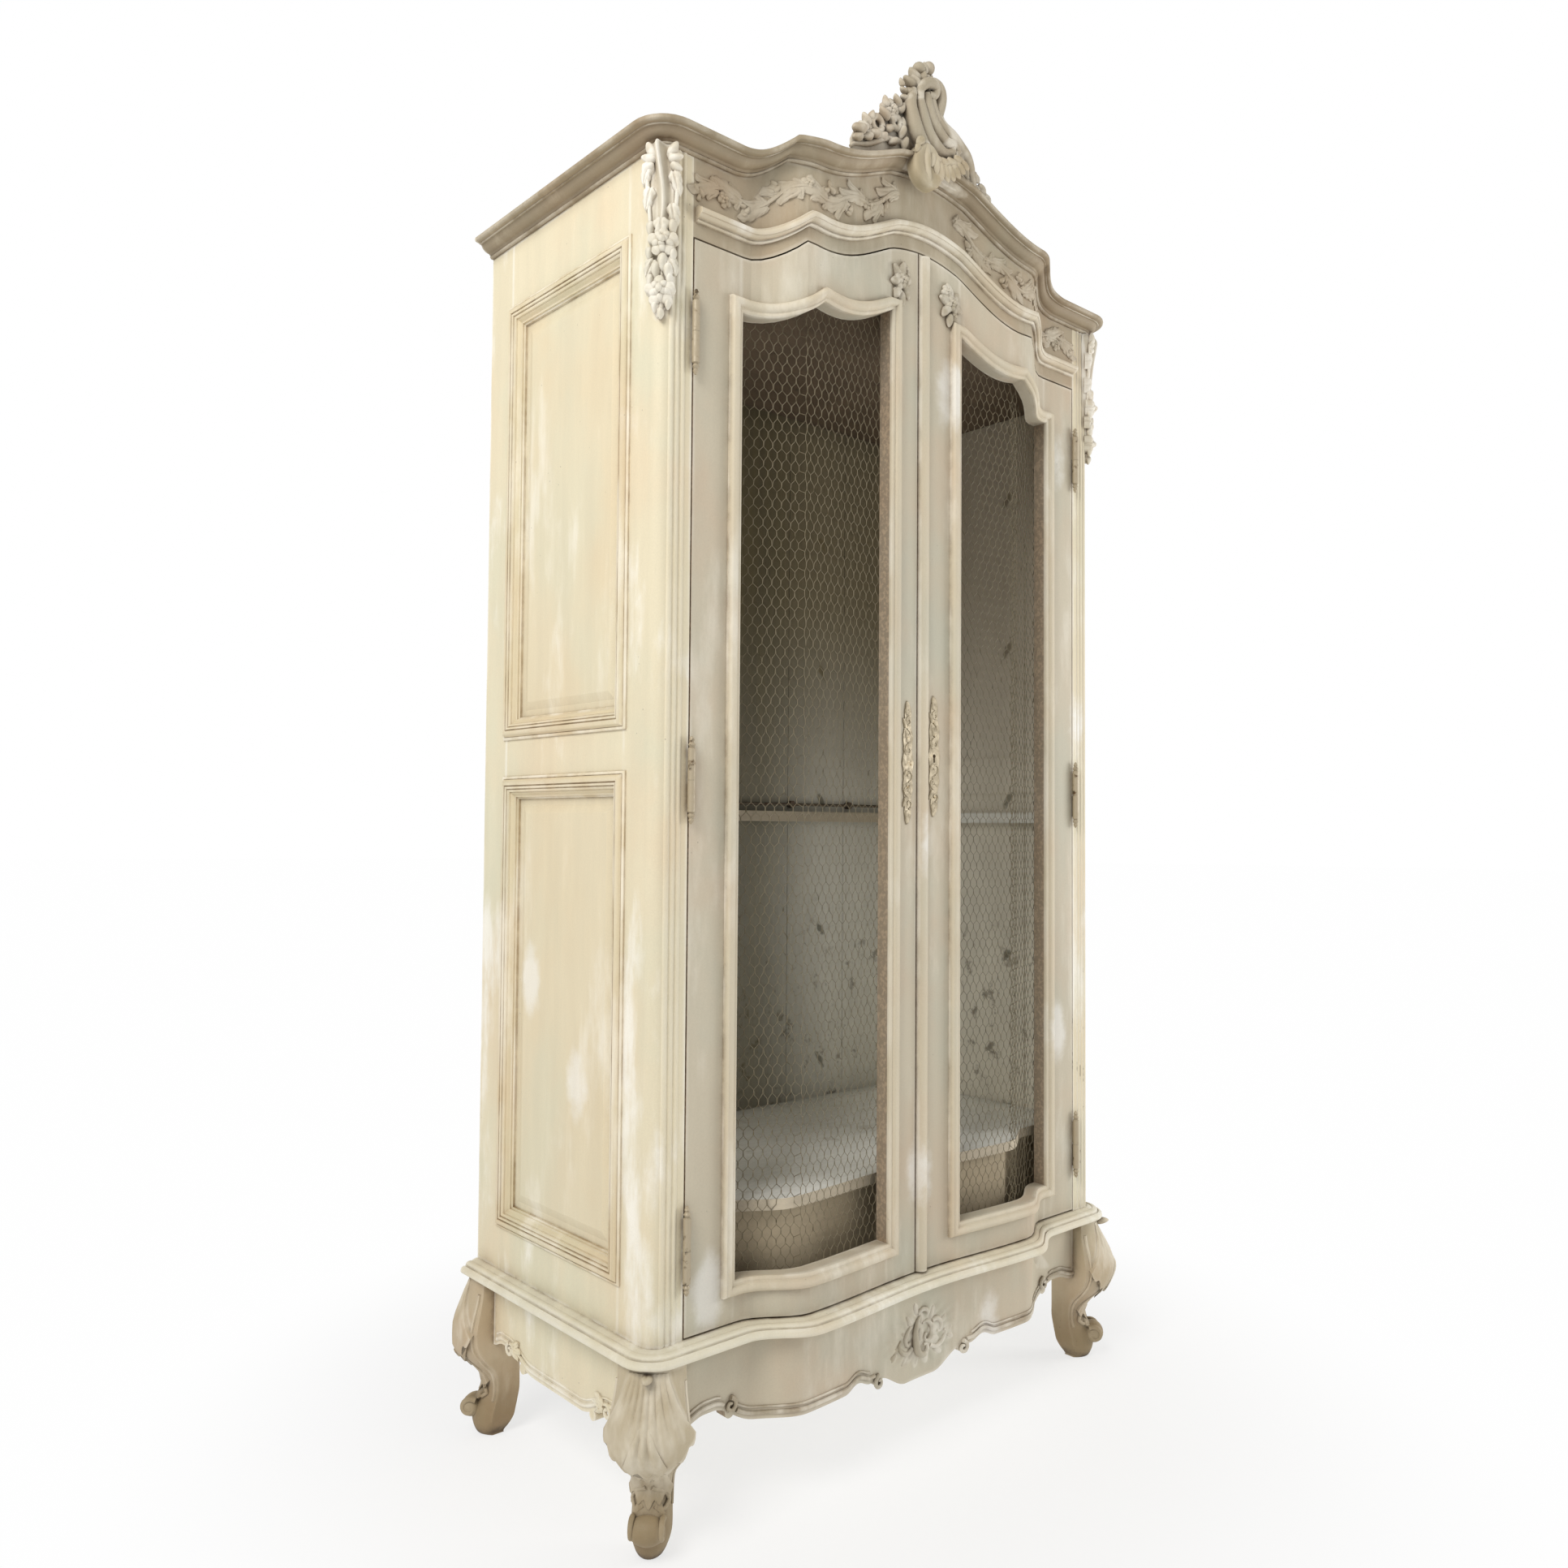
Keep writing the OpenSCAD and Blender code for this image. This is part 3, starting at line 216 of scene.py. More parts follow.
def build_glaze_and_rub():
    """Brown glaze left in the hollows and pale wood rubbed bare on the edges."""
    group, w, (v, colour, glaze, rubbed, hollow, sharp, glazing, rubbing), end = new_group(
        "glaze_and_rub", {"Color": "Color"}, Vector="Vector", Color="Color Glaze Rubbed",
        Float="Open Sharp Glazing Rubbing")
    broken = w.step(w.noise(v, 30, 4, 0.65), 0.3, 0.66, 0.35, 1.0)
    hollow = w.times(w.step(hollow, 0.30, 0.92, 1.0, 0.0), w.times(glazing, broken), clamp=True)
    worn = w.step(w.noise(w.stretch(v, (9, 9, 4)), 1.6, 4, 0.6), 0.36, 0.62)
    edge = w.times(w.step(sharp, 0.55, 0.98, 1.0, 0.0), w.times(rubbing, worn), clamp=True)
    w.join(w.mix(edge, w.mix(hollow, colour, glaze), rubbed), end.inputs["Color"])
    return group


lime_patches = build_lime_patches()
glaze_and_rub = build_glaze_and_rub()


def srgb(r, g, b):
    """A colour read as it shows on screen, from 0 to 255."""
    return tuple(((c / 255 + 0.055) / 1.055) ** 2.4 if c > 10.3 else c / 255 / 12.92
                 for c in (r, g, b)) + (1,)


def finish_of(name):
    material = bpy.data.materials.new(name)
    material.use_nodes = True
    w = Wiring(material.node_tree)
    shader = material.node_tree.nodes["Principled BSDF"]
    return material, w, shader, w.add("TexCoord").outputs["Object"]


def end_with(w, shader, base, rough, height, strength, distance):
    """Gives the shader its colour, roughness and bump."""
    w.put(shader.inputs["Base Color"], base)
    w.put(shader.inputs["Roughness"], rough)
    bump = w.add("Bump", {"Strength": strength, "Distance": distance, "Height": height})
    w.join(bump.outputs["Normal"], shader.inputs["Normal"])


def paper(w, place, pale, start, pitch, along):
    """Faded wallpaper with small sprigs, foxed low down and darker towards the top as painted
    shade.
    """
    where = w.parts(place)

    def off(value, start, pitch):
        turn = w.math("SUBTRACT", value, start - pitch / 2)
        turn = w.math("FRACT", w.math("DIVIDE", turn, pitch))
        return w.times(w.math("SUBTRACT", turn, 0.5), pitch)
    a, b = off(where[along], start[0], pitch[0]), off(where["Z"], start[1], pitch[1])
    slant = w.times_plus(b, 0.55, a)
    far = w.math("SQRT", w.math("ADD", w.times(slant, w.times(slant, 3.2)), w.times(b, b)))
    far = w.times_plus(w.noise(place, 60, 4, 0.7), 0.040, far)
    cloud = w.noise(w.stretch(place, (2.2, 2.2, 1.4)), 2.0, 5, 0.6)
    base = w.mix(w.step(cloud, 0.35, 0.7), pale, tuple(c * 0.86 for c in pale[:3]) + (1,))
    base = w.mix(w.step(far, 0.030, 0.040, 0.75, 0.0), base, srgb(96, 94, 76))
    foxed = w.times(w.step(w.noise(place, 26, 5, 0.7), 0.56, 0.68),
                    w.step(where["Z"], 0.70, 1.00, 0.75, 0.0))
    base = w.mix(foxed, base, srgb(104, 92, 76))
    on_back = along == "X"
    # painted shade: the paper turns darker and browner towards the top of the inside, most on the
    # back
    high_shade = w.step(where["Z"], 0.85, 1.65, 0.0, 0.90 if on_back else 0.50)
    return w.mix(high_shade, base, srgb(134, 119, 84) if on_back else srgb(172, 152, 126))


PAINT_PARTS = ("Paint", "Rosy", "Mossy", "Lime", "Glaze", "Rubbed",
               "Clouding", "Liming", "Glazing", "Rubbing")


def painted(name, colours, levels, reach=0.03, inner=None, edges=None, foot=None):
    """A limed and glazed paint; inner gives it papered insides, edges a door's brown edges, foot a
    painted shade low on the legs.
    """
    material, w, shader, place = finish_of(name)
    coat = w.add("Group", {"Vector": place}, node_tree=lime_patches)
    wear = w.add("Group", {"Vector": place, "Color": coat.outputs["Color"],
                           "Open": w.nearness(reach), "Sharp": w.nearness(0.006, inside=True)},
                 node_tree=glaze_and_rub)
    for node in (coat, wear):
        for label, value in zip(PAINT_PARTS, [srgb(*c) for c in colours] + list(levels)):
            if label in node.inputs:
                node.inputs[label].default_value = value
    colour = wear.outputs["Color"]
    # painted shade: the legs are tinted darker towards the floor
    if foot:
        low = w.times_plus(w.noise(place, 40, 4), 0.05, w.parts(place)["Z"])
        colour = w.mix(w.step(low, 0.06, 0.20, 0.85, 0.0), colour,
                       w.tinted(colour, srgb(*foot)))
    if edges:
        side = w.step(w.math("ABSOLUTE", w.turned_to()["X"]), 0.86, 0.95, 0.0, 0.75)
        dots = w.step(w.noise(place, 170, 3, 0.6), 0.46, 0.60, 0.55, 1.0)
        colour = w.mix(side, colour, w.tinted(srgb(*edges), dots))
    if inner:
        turned = w.times(w.turned_to()["X"], w.math("SIGN", w.parts(place)["X"]))
        colour = w.mix(w.step(turned, -0.7, -0.5, 1.0, 0.0), colour,
                       paper(w, place, srgb(*inner), (0.568, 1.469), (0.294, 0.333), "Y"))
    shader.inputs["Specular IOR Level"].default_value = 0.35
    end_with(w, shader, colour, 0.62, coat.outputs["Height"], 0.25, 0.0012)
    return material


GLAZE = (116, 92, 66)
side_paint = painted("cream_side_paint", (
    (224, 213, 184), (224, 204, 172), (212, 211, 186), (245, 241, 230), GLAZE, (246, 243, 234)),
    (0.55, 0.85, 0.8, 0.6), inner=(248, 243, 228))
panel_paint = painted("cream_panel_paint", (
    (221, 208, 178), (220, 202, 168), (214, 210, 184), (242, 237, 224), GLAZE, (244, 240, 228)),
    (0.5, 0.5, 0.8, 0.4), inner=(248, 243, 228))
front_paint = painted("beige_front_paint", (
    (198, 188, 166), (200, 179, 154), (186, 187, 170), (225, 218, 202), GLAZE, (236, 230, 216)),
    (0.6, 0.5, 0.85, 0.45), edges=(158, 134, 108))
moulding_paint = painted("pale_moulding_paint", (
    (207, 195, 170), (206, 185, 158), (194, 191, 172), (232, 226, 211), (98, 76, 52),
    (242, 236, 222)), (0.55, 0.6, 0.95, 0.6))
side_moulding_paint = painted("cream_moulding_paint", (
    (216, 201, 168), (214, 191, 156), (202, 197, 166), (240, 233, 216), (134, 103, 66),
    (244, 238, 222)), (0.55, 0.6, 0.95, 0.6), 0.022)
cornice_paint = painted("glazed_cornice_paint", (
    (152, 137, 112), (154, 131, 104), (154, 145, 122), (200, 188, 164), (82, 62, 42),
    (232, 224, 206)), (0.55, 0.35, 1.0, 0.85))
frieze_paint = painted("glazed_frieze_paint", (
    (174, 161, 137), (178, 155, 128), (166, 162, 142), (208, 199, 178), (92, 72, 50),
    (216, 208, 190)), (0.7, 0.45, 0.8, 0.45), 0.014)
bracket_paint = painted("pale_bracket_paint", (
    (214, 206, 186), (212, 194, 170), (202, 202, 184), (238, 234, 222), (104, 82, 58),
    (246, 242, 232)), (0.55, 0.6, 0.8, 0.75), 0.02)
base_paint = painted("bright_base_paint", (
    (222, 214, 190), (220, 204, 177), (222, 219, 200), (246, 243, 232), (112, 90, 64),
    (250, 247, 238)), (0.5, 0.8, 0.95, 0.9))
carving_paint = painted("glazed_carving_paint", (
    (172, 160, 137), (174, 151, 124), (170, 165, 145), (222, 214, 196), (78, 60, 41),
    (240, 234, 220)), (0.6, 0.6, 0.85, 0.6), 0.022)
drop_paint = painted("olive_drop_paint", (
    (176, 160, 130), (180, 154, 118), (160, 152, 126), (206, 196, 172), (74, 57, 38),
    (226, 217, 196)), (0.6, 0.3, 0.9, 0.4), 0.02)
leg_paint = painted("glazed_leg_paint", (
    (190, 176, 148), (190, 166, 136), (178, 172, 147), (226, 217, 198), (70, 53, 36),
    (234, 226, 208)), (0.65, 0.55, 1.0, 0.55), 0.024, foot=(184, 170, 146))


def lining(name, pale, stain_and_shadow, shade=None):
    """The inside: limed boards with stains, or without a shade old paper over them with a painted
    shadow down its left; both darker in the corners as painted shade.
    """
    material, w, shader, place = finish_of(name)
    pale, stain_and_shadow = srgb(*pale), srgb(*stain_and_shadow)
    if shade:
        cloud = w.noise(w.stretch(place, (2.2, 2.2, 1.4)), 2.0, 5, 0.6)
        base = w.mix(w.step(cloud, 0.35, 0.7), pale, srgb(*shade))
        base = w.mix(w.step(w.noise(place, 18, 5, 0.7), 0.60, 0.75, 0.0, 0.6), base, stain_and_shadow)
        fronts = w.step(w.turned_to()["Y"], -0.6, -0.4, 0.85, 0.0)
        base = w.mix(fronts, base, srgb(186, 170, 142))
    else:
        base = paper(w, place, pale, (0.270, 1.425), (0.294, 0.288), "X")
        # painted shadow: an olive band darkest at the left edge of the back, fading out by 0.30 m
        # and streaked top to bottom
        shadow_streaks = w.step(w.noise(w.stretch(place, (30, 30, 3)), 1.5, 4), 0.35, 0.7)
        base = w.mix(w.step(w.parts(place)["X"], 0.06, 0.30, 0.75, 0.0), base,
                     w.mix(shadow_streaks, srgb(104, 94, 62), stain_and_shadow))
        bare = w.mix(w.noise(w.stretch(place, (14, 14, 1.2)), 2.0, 5, 0.6),
                     srgb(168, 146, 114), srgb(122, 101, 76))
        facing = w.parts(w.add("NewGeometry").outputs["True Normal"])
        base = w.mix(w.step(facing["Y"], 0.4, 0.6), base, bare)
    weave = w.noise(w.stretch(place, (7, 60, 60) if shade else (60, 60, 6)), 3.0, 3, 0.6)
    base = w.tinted(base, w.step(weave, 0.3, 0.7, 0.93, 1.03))
    # painted shade: the boards and paper darker where they are closed in, in corners and where
    # parts meet
    base = w.tinted(base, w.step(w.nearness(0.06), 0.35, 0.95, 0.62, 1.0))
    end_with(w, shader, base, 0.85, weave, 0.2, 0.001)
    return material


# the second colour is the darkest of the painted shadow down the left of the back
back_lining = lining("papered_back", (240, 238, 226), (92, 84, 60))
inner_boards = lining("limed_inner_boards", (250, 249, 242), (176, 166, 146), (240, 239, 230))
riser_boards = lining("bare_riser_boards", (214, 200, 174), (140, 118, 92), (196, 182, 156))
# painted shade: the ceiling and head rail get a dark brown copy of the inner boards, for the shade
# under the top
ceiling_boards = lining("ceiling_boards_in_painted_shade", (132, 114, 94), (84, 70, 54), (114, 98, 80))


def worn_metal(name, metal, rust, paint, covered, rough=0.45):
    """Iron or brass with rust and the remains of the paint."""
    material, w, shader, place = finish_of(name)
    spots = w.noise(place, 90, 4, 0.65)
    base = w.mix(w.step(spots, 0.42, 0.62), srgb(*metal), srgb(*rust))
    kept = w.times(w.step(w.noise(place, 55, 4, 0.6), 0.30, 0.42), covered)
    base = w.mix(kept, base, srgb(*paint))
    # painted shade: the metal darker in its crevices and where parts meet
    base = w.tinted(base, w.step(w.nearness(0.006), 0.3, 0.95, 0.45, 1.0))
    w.join(w.math("SUBTRACT", 0.9, w.times(kept, 0.9), clamp=True), shader.inputs["Metallic"])
    rough = w.step(spots, 0.3, 0.7, rough - 0.1, rough + 0.25)
    end_with(w, shader, base, rough, spots, 0.3, 0.0006)
    return material


hinge_iron = worn_metal("painted_hinge_iron", (104, 94, 78), (96, 74, 50), (178, 164, 138), 0.9)
dark_iron = worn_metal("dark_iron", (78, 72, 64), (84, 62, 44), (140, 130, 112), 0.3)
plate_brass = worn_metal("limed_plate_brass", (132, 116, 86), (92, 76, 54), (186, 173, 146), 0.72)
net_zinc = worn_metal("dull_net_zinc", (104, 95, 73), (86, 76, 56), (122, 112, 90), 0.95, 0.75)

# What each solid of the case is finished with; the rest has the paint of the front
DRESSING = (
    (side_paint, ("front_post", "back_post", "side_rails", "side_aprons")),
    (panel_paint, ("side_panels",)),
    (moulding_paint, ("seam_bead",)),
    (back_lining, ("back_planks",)),
    (ceiling_boards, ("ceiling_board", "head_rail")),
    (riser_boards, ("riser_board",)),
    (inner_boards, ("floor_board", "top_board", "bottom_board", "inner_battens")),
    (frieze_paint, ("frieze_board",)),
    (hinge_iron, ("hinge_pins", "left_barrels", "right_barrels")),
    (dark_iron, ("iron_rod", "bolt_keepers", "lock_keeper", "bolt_guides", "top_bolt",
                 "bottom_bolt", "lock_case")),
    (plate_brass, ("lock_bolt",)))
for name, node in nodes.items():
    finish = next((paint for paint, starts in DRESSING if name.startswith(starts)), front_paint)
    node.data.materials.clear()
    node.data.materials.append(finish)


# Carving: blades, petals and scrolls are shaped flat, as X, height and Z,
# and then laid on the face that carries them.

SHARP_EDGE = radians(48)


def keep(name, bm, material, body="carcass"):
    """Makes the finished piece and lets it ride on its body."""
    mesh = bpy.data.meshes.new(name)
    if name.startswith(("crest", "leg")):  # this also brings their normals up to date
        bmesh.ops.holes_fill(bm, edges=[e for e in bm.edges if e.is_boundary], sides=0)
    bmesh.ops.recalc_face_normals(bm, faces=bm.faces)
    bm.to_mesh(mesh)
    bm.free()
    mesh.shade_smooth()
    mesh.set_sharp_from_angle(angle=SHARP_EDGE)
    mesh.materials.append(material)
    piece = bpy.data.objects.new(name, mesh)
    bpy.context.scene.collection.objects.link(piece)
    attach(piece, body)
    return piece


def mm(*points):
    return [tuple(c * MM for c in p) for p in points]


def evenly(a, b, n):
    return [a + (b - a) * i / n for i in range(n + 1)]


def flat_place(x, z, angle, height=0.0):
    """A place on a face drawn as X across, Y up and Z outwards."""
    return Matrix.Translation((x, z, height)) @ Matrix.Rotation(radians(angle), 4, "Z")


def around(verts, kind="link_edges"):
    """The edges or faces at some corners, each once and in the same order each run."""
    return list(dict.fromkeys(e for v in verts for e in getattr(v, kind)))


def open_rim(verts):
    return [e for e in around(verts) if e.is_boundary]


def sheet(bm, nx, ny, spot, ring=False, caps=False):
    """A grid of faces put where spot says; ring joins its long edges, caps its ends."""
    made = bmesh.ops.create_grid(bm, x_segments=nx, y_segments=ny, size=0.5)["verts"]
    for v in made:
        v.co = Vector(spot(v.co.x + 0.5, v.co.y + 0.5))
    if ring:
        bmesh.ops.remove_doubles(bm, verts=made, dist=1e-6)
        made = [v for v in made if v.is_valid]
    if caps:
        bmesh.ops.holes_fill(bm, edges=open_rim(made), sides=0)
    return made


def close_behind(bm, made, depth):
    """Runs the open rim of a new patch back to a flat level and closes it there."""
    grown = bmesh.ops.extrude_edge_only(bm, edges=open_rim(made))
    low = [g for g in grown["geom"] if isinstance(g, bmesh.types.BMVert)]
    for v in low:
        v.co.z = depth
    back = [g for g in grown["geom"] if isinstance(g, bmesh.types.BMEdge) and g.is_boundary]
    bmesh.ops.holes_fill(bm, edges=back, sides=0)
    return low


def patch(bm, place, nx, ny, spot, depth):
    """A raised patch shaped by spot, closed behind and put in its place."""
    made = sheet(bm, nx, ny, lambda t, s: spot(t, 2 * s - 1))
    bmesh.ops.transform(bm, matrix=place, verts=made + close_behind(bm, made, depth))


def blade(bm, place, length, width, rise, lobes=2, sway=0.0, depth=-0.001, nx=18, ny=8):
    """One acanthus blade: soft lobes, a hollow middle rib and side veins."""
    def spot(t, s):
        notch = (0.5 + 0.5 * cos(2 * pi * (lobes * t - 0.1))) ** 3
        full = sin(pi * (0.06 + 0.89 * t) ** 0.74)
        spread = width / 2 * max(0.0, full) ** 0.55 * (1 - 0.24 * s * s * notch)
        dome = 0.22 + 0.78 * sqrt(max(0.0, 1 - 0.94 * s * s))
        rib = 0.30 * exp(-(s / 0.13) ** 2)
        vein = 0.16 * cos(2 * pi * (lobes * t - 0.9 * abs(s))) * abs(s)
        z = rise * (dome - rib - vein) * (0.55 + 0.45 * sin(pi * min(1, t + 0.15)))
        return (length * (t - 0.06 * s * s),
                s * spread + sway * length * sin(pi * t / 2) ** 2, max(z, 0.12 * rise))
    patch(bm, place, nx, ny, spot, depth)


def petal(bm, place, start, turn, reach, lift, cup, depth):
    def spot(u, s):
        r = reach * (0.12 + 0.88 * u * (1 - 0.30 * abs(s) ** 2.4))
        a = start + turn * s * (0.75 + 0.25 * sin(pi * u))
        z = lift * (0.2 + 0.8 * sin(pi * (0.16 + 0.66 * u))) * (1 - 0.5 * s * s)
        return (r * cos(a), r * sin(a), z - cup * exp(-(s / 0.4) ** 2) * u)
    patch(bm, place, 5, 6, spot, depth)


def rose(bm, place, r, rise, depth=-0.001):
    for ring, (share, tall, count) in enumerate([(1.0, 0.62, 5), (0.72, 0.86, 5),
                                                 (0.44, 1.06, 3)]):
        for k in range(count):
            petal(bm, place, 2 * pi * (k + 0.5 * ring) / count, pi / count * 1.12,
                  r * share, rise * tall, rise * 0.10, depth)
    ball = bmesh.ops.create_uvsphere(bm, u_segments=10, v_segments=6, radius=r * 0.24)["verts"]
    bmesh.ops.transform(bm, matrix=place @ Matrix.Translation((0, 0, rise * 0.9)), verts=ball)


def bud(bm, place, r, rise):
    """A closed bud: a drop of three folded petals."""
    ball = bmesh.ops.create_uvsphere(bm, u_segments=16, v_segments=10, radius=1)["verts"]
    for v in ball:
        t = (v.co.x + 1) / 2
        squeeze = 1 - 0.45 * t
        fold = 1 + 0.10 * cos(3 * atan2(v.co.z, v.co.y) + 4 * t)
        v.co = Vector((v.co.x * r * 1.35, v.co.y * r * squeeze * fold,
                       v.co.z * rise * squeeze * fold + rise * 0.35))
    bmesh.ops.transform(bm, matrix=place, verts=ball)


def buds(bm, rows, height, long=1.0, tall=1.0):
    """Buds by their X, Z, angle and size, in thousandths."""
    for x, z, angle, r in rows:
        bud(bm, flat_place(x * MM, z * MM, angle, height), r * long * MM, r * tall * MM)


def tube(bm, points, sides=8, free=False):
    """A round stem through points of X, Y, height and radius; a free one may climb."""
    spots = [Vector(p[:3]) for p in points]
    n = len(spots) - 1
    rings, side = [], None
    for i, p in enumerate(points):
        ahead = (spots[min(i + 1, n)] - spots[max(i - 1, 0)]).normalized()
        if free:
            if side is None:
                side = ahead.orthogonal().normalized()
            side = (side - ahead * side.dot(ahead)).normalized()
            up = ahead.cross(side)
        else:
            side = ahead.cross(Vector((0, 0, 1)))
            side = side.normalized() if side.length > 1e-3 else Vector((1, 0, 0))
            up = side.cross(ahead)
        rings.append([spots[i] + side * (p[3] * cos(a)) + up * (p[3] * sin(a))
                      for a in (2 * pi * k / sides for k in range(sides))])
    sheet(bm, n, sides, lambda t, s: rings[round(t * n)][round(s * sides) % sides],
          ring=True, caps=True)


def stem(bm, points, steps, sides=8):
    """A round stem through a few points in thousandths."""
    tube(bm, smooth_line(mm(*points), steps), sides)


def spiral(cx, cy, r0, r1, a0, a1, thick0, thick1, height, n=18):
    """Points of a scroll that winds from one radius and angle to another."""
    out = []
    for i in range(n + 1):
        t = i / n
        r, a = r0 + (r1 - r0) * t ** 0.8, radians(a0 + (a1 - a0) * t)
        out.append((cx + r * cos(a), cy + r * sin(a), height,
                    thick0 + (thick1 - thick0) * t))
    return out


def lay_on_front(bm, out=0.0):
    """Turns X, Y, height into the bowed front."""
    for v in bm.verts:
        x, z, h = v.co
        v.co = Vector((x, FRONT + bow(x) - out - h, z))


def lay_plane(bm, y):
    """Turns X, Y, height into a flat upright face that looks forward."""
    for v in bm.verts:
        x, z, h = v.co
        v.co = Vector((x, y - h, z))


def plank(bm, outline, low, high, soft):
    """A flat piece cut to an outline, from one height to another, with a soft edge."""
    ring = bmesh.ops.create_circle(bm, cap_ends=True, segments=len(outline), radius=1)["verts"]
    for v, p in zip(ring, outline):
        v.co = Vector((p[0], p[1], low))
    grown = bmesh.ops.extrude_face_region(bm, geom=around(ring, "link_faces"))["geom"]
    top = [g for g in grown if isinstance(g, bmesh.types.BMVert)]
    for v in top:
        v.co.z = high
    rim = [e for e in around(top) if all(v in top for v in e.verts)]
    bmesh.ops.bevel(bm, geom=rim, offset=soft, segments=2, profile=0.5, affect="EDGES",
                    material=-1)


def smooth_line(points, steps=6):
    """A smooth run through points of any length."""
    out = []
    for i in range(len(points) - 1):
        p0, p1 = points[max(i - 1, 0)], points[i]
        p2, p3 = points[i + 1], points[min(i + 2, len(points) - 1)]
        for k in range(steps):
            t = k / steps
            out.append(tuple(0.5 * (2 * b + (c - a) * t + (2 * a - 5 * b + 4 * c - d) * t * t
                                    + (3 * b - a - 3 * c + d) * t ** 3)
                             for a, b, c, d in zip(p0, p1, p2, p3)))
    return out + [tuple(points[-1])]


# Mouldings, swept once more with finer profiles along the same lines: each profile is
# its points, outwards and up in thousandths, and the numbers of those that are corners

COVE = ([
    (-20, 0), (4, 0), (7, 2.5), (6, 5), (7.5, 6.5), (9, 8), (15, 9.5), (21, 13.5), (24.5, 19),
    (25, 20), (28.5, 20), (29, 21.6), (33, 22), (37, 23.5), (38, 27), (37, 30), (34, 31.6),
    (34, 32), (-20, 32)], {0, 1, 3, 5, 8, 9, 10, 11, 16, 17})
NOSE = ([
    (-20, 0), (24, 0), (28, 1.0), (32, 3.6), (33, 7.4), (31.4, 11.4), (27.6, 14), (26, 14.2),
    (24.6, 12.6), (23.4, 14.4), (22.6, 17.6), (19, 20.0), (14, 20.6), (12.6, 19.6), (11, 20.4),
    (4, 23), (-20, 23)], {0, 1, 7, 8, 13, 14, 15})
STEP = ([
    (0, 0), (4, 0), (6.4, 1.6), (6, 4), (5, 4.6), (6, 5.4), (11, 6.6), (14.5, 9.6), (15, 11),
    (17, 11.4), (18, 14.5), (17.4, 18.4), (14, 21.0), (10, 21.6), (9.4, 23.4), (8, 24), (0, 24)],
    {0, 1, 3, 5, 8, 9, 13, 15})
OGEE = ([
    (24, 0), (24, 2.8), (23.2, 7.2), (21, 10.8), (17, 12.9), (12.5, 12.5), (9, 10.2), (7.2, 8.0),
    (6.4, 7.6), (4, 7.6), (2.2, 6.8), (0.8, 5.6), (0, 4), (0, 0)], {0, 1, 8, 13})
BOLECTION = ([
    (-7, 0), (-7, 2.6), (-5, 4), (-3, 4.4), (-2, 3), (-1, 5.6), (2, 9), (5.5, 10), (8.5, 9.4),
    (9.4, 6.6), (10.6, 6.6), (11.4, 8.8), (14.4, 8), (15.2, 5.2), (16.4, 5.2), (17, 6.6),
    (20, 4.6), (20.8, 2), (22, 2), (24, 0), (27, -3), (29, -4), (29.4, -6.4), (32, -8),
    (32, -12), (0, -12), (0, 0)],
    {0, 1, 4, 8, 9, 10, 11, 12, 13, 14, 15, 16, 17, 18, 21, 22, 23, 24, 25, 26})
BASE_Z = 0.281
CORNER_R = 0.024
LIGHT_X = (0.092, 0.396)
LIGHT_LOW = 0.373
PANEL_Y = (-0.135, 0.232)
PANELS_Z = ((0.384, 1.154), (1.232, 1.994))


def sweep(bm, profile, places, loop=False):
    """Sweeps a profile through places; each place turns (out, up) into a point."""
    points, corners = profile
    line, run = [], []
    for i, p in enumerate(points):
        run.append((p[0] * MM, p[1] * MM))
        if i in corners or i == len(points) - 1:
            line += smooth_line(run, 4)[:-1] if len(run) > 1 else []
            run = [run[-1]]
    line.append(run[-1])
    n, m = len(places) - (0 if loop else 1), len(line)

    def spot(t, s):
        return places[round(t * n) % len(places)](*line[round(s * m) % m])
    sheet(bm, n, m, spot, ring=True, caps=not loop)


def round_the_case(line, level):
    """Places of a run along the left side, round the front and along the right side."""
    def end(side):
        return lambda o, u: (side * (HALF_W + o), BACK, level + u)

    def corner(side, k):
        a = radians(90 * k / 8)
        return lambda o, u: (side * (HALF_W - CORNER_R + (CORNER_R + o) * cos(a)),
                             FRONT + CORNER_R - (CORNER_R + o) * sin(a), level + u)
    return ([end(-1)] + [corner(-1, k) for k in range(9)]
            + [lambda o, u, x=x: (x, FRONT + bow(x) - o, line(x) + u)
               for x in evenly(-0.493, 0.493, 150)]
            + [corner(1, 8 - k) for k in range(9)] + [end(1)])


def door_light(side, name):
    bm = bmesh.new()
    xs = evenly(*LIGHT_X, 48)
    mitre = {xs[0]: -1, xs[-1]: 1}

    def spot_of(x, z, dz):
        dx = mitre.get(x, 0)
        return lambda o, u: (side * (x + dx * o), FRONT + bow(x + dx * o) - u, z + dz * o)
    sweep(bm, OGEE, [spot_of(x, LIGHT_LOW, -1) for x in xs]
          + [spot_of(x, light_top(x), 1) for x in reversed(xs)], loop=True)
    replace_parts(keep(name + "_light_run", bm, moulding_paint, name + "_door"),
                name + "_moulding")


def side_panels(side, name):
    bm = bmesh.new()
    for low, top in PANELS_Z:
        sweep(bm, BOLECTION, [
            lambda o, u, y=y, back=back, z=z, turn=turn: (
                side * (HALF_W + u), y - o if back else y + o, z + turn * o)
            for y, back, z, turn in ((PANEL_Y[0], False, low, 1), (PANEL_Y[1], True, low, 1),
                                     (PANEL_Y[1], True, top, -1), (PANEL_Y[0], False, top, -1))],
            loop=True)
    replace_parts(keep("side_run_" + name, bm, side_moulding_paint),
                "side_mouldings_" + name)


